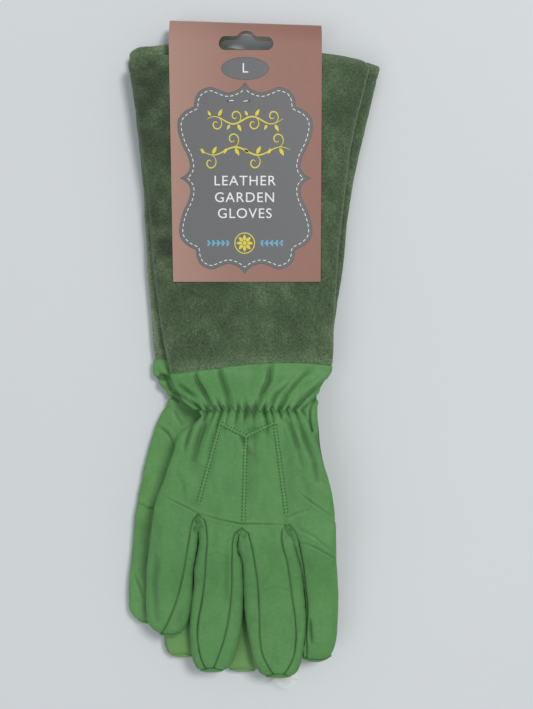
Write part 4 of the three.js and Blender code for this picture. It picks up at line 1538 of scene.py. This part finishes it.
def build_seal():
    """A clear round sticker between the fingertips, with the torn paper arc that it still holds."""
    low, high = drawing_box("clear_seal")
    cx, cy = (low[0] + high[0]) / 2, (low[1] + high[1]) / 2
    r = (high[0] - low[0]) / 2
    radii = np.array([0.02, 0.2, 0.4, 0.6, 0.8, 0.93, 1.0])[:, None] * r
    angles = np.linspace(0, 2 * math.pi, 73)[None, :]
    x, y = cx + radii * np.cos(angles), cy + radii * np.sin(angles)
    z = high[2] + 0.25 * noise(x, y, 4, 201) * (radii / r)
    points = np.stack([x, y, z], -1)
    disc = shell("clear_round_seal", points, points - np.array([0, 0, 5.0]), 0.15, film, {})
    settle(disc, "clear_film", "clear_seal")

    arc = spline(((10.4, -199.4), (12.1, -197.6), (16, -197.1), (21.2, -196.9), (25.8, -198.3)), 10)
    arc = np.array(arc)
    share = np.linspace(0, 1, len(arc))
    ragged = 0.85 + 0.3 * noise(arc[:, 0], arc[:, 1], 0.9, 203)
    half = (ragged * np.sin(math.pi * np.clip(share, 0.03, 0.97)) ** 0.4)[:, None]
    across = np.linspace(-1, 1, 5)[None, :]
    strip = np.stack([arc[:, :1] + 0 * across, arc[:, 1:] + half * across,
                      high[2] + 0.35 + 0.12 * noise(arc[:, :1] + across, arc[:, 1:], 1.2, 205)], -1)
    paper = shell("seal_torn_paper", strip, strip - np.array([0, 0, 5.0]), 0.14, board, {})
    settle(paper, "clear_film")


grey_ink = ink_material("grey_ink", (0.128, 0.131, 0.136))
dark_ink = ink_material("dark_grey_ink", (0.098, 0.102, 0.110))
# painted shadow of the staple's holes
hole_shadow_paint = ink_material("shaded_hole", (0.018, 0.018, 0.020))
white_ink = ink_material("white_ink", (0.80, 0.81, 0.82))
yellow_ink = ink_material("yellow_ink", (0.70, 0.60, 0.035), 0.1)
blue_ink = ink_material("blue_ink", (0.13, 0.43, 0.62))
steel = speckled("staple_wire", (0.84, 0.85, 0.86), (0.93, 0.94, 0.95), 900.0,
                 (2500.0, 0.15, 0.00005), 0.42, Metallic=0.55)
film = film_material()

build_card()
build_staple()
build_seal()


# ---------------------------------------------------------------- stage, light and camera

CAMERA_HEIGHT = 0.611
CAMERA_AT = (6.9, 0.3)
FLOOR_REACH = 60.0


def build_stage():
    material = speckled("pale_floor", (0.650, 0.678, 0.700), (0.680, 0.706, 0.726), 2.2,
                        (500.0, 0.05, 0.0001), 0.75, Specular_IOR_Level=0.25)
    steps = FLOOR_REACH * np.linspace(-1, 1, 9)
    grid = np.array([(x, y, -0.0006) for y in steps for x in steps])
    floor = new_object("floor", grid, quads(9, 9)[:, ::-1].tolist(), material)


def area_light(name, place, size, power, color):
    data = bpy.data.lights.new(name, "AREA")
    data.shape = "DISK"
    data.size = size
    data.energy = power
    data.color = color
    light = bpy.data.objects.new(name, data)
    light.location = place
    light.rotation_euler = (-Vector(place)).to_track_quat("-Z", "Y").to_euler()
    bpy.context.scene.collection.objects.link(light)


def build_lights():
    world = bpy.data.worlds.new("soft_daylight")
    world.use_nodes = True
    background = world.node_tree.nodes["Background"]
    background.inputs["Color"].default_value = (0.94, 0.97, 1.0, 1.0)
    background.inputs["Strength"].default_value = 0.45
    bpy.context.scene.world = world
    area_light("key", (0.80, 0.75, 2.2), 0.7, 30.0, (1.0, 0.985, 0.965))
    area_light("fill", (-1.2, -0.9, 2.0), 1.6, 7.7, (0.96, 0.98, 1.0))


def build_camera():
    data = bpy.data.cameras.new("camera")
    data.lens = 50.0
    data.sensor_width = 36.0
    data.sensor_fit = "AUTO"
    camera = bpy.data.objects.new("camera", data)
    camera.location = Vector(to_frame((*CAMERA_AT, 0))) + Vector((0, 0, CAMERA_HEIGHT))
    bpy.context.scene.collection.objects.link(camera)
    bpy.context.scene.camera = camera
    bpy.context.scene.view_settings.view_transform = "Standard"


build_stage()
build_lights()
build_camera()
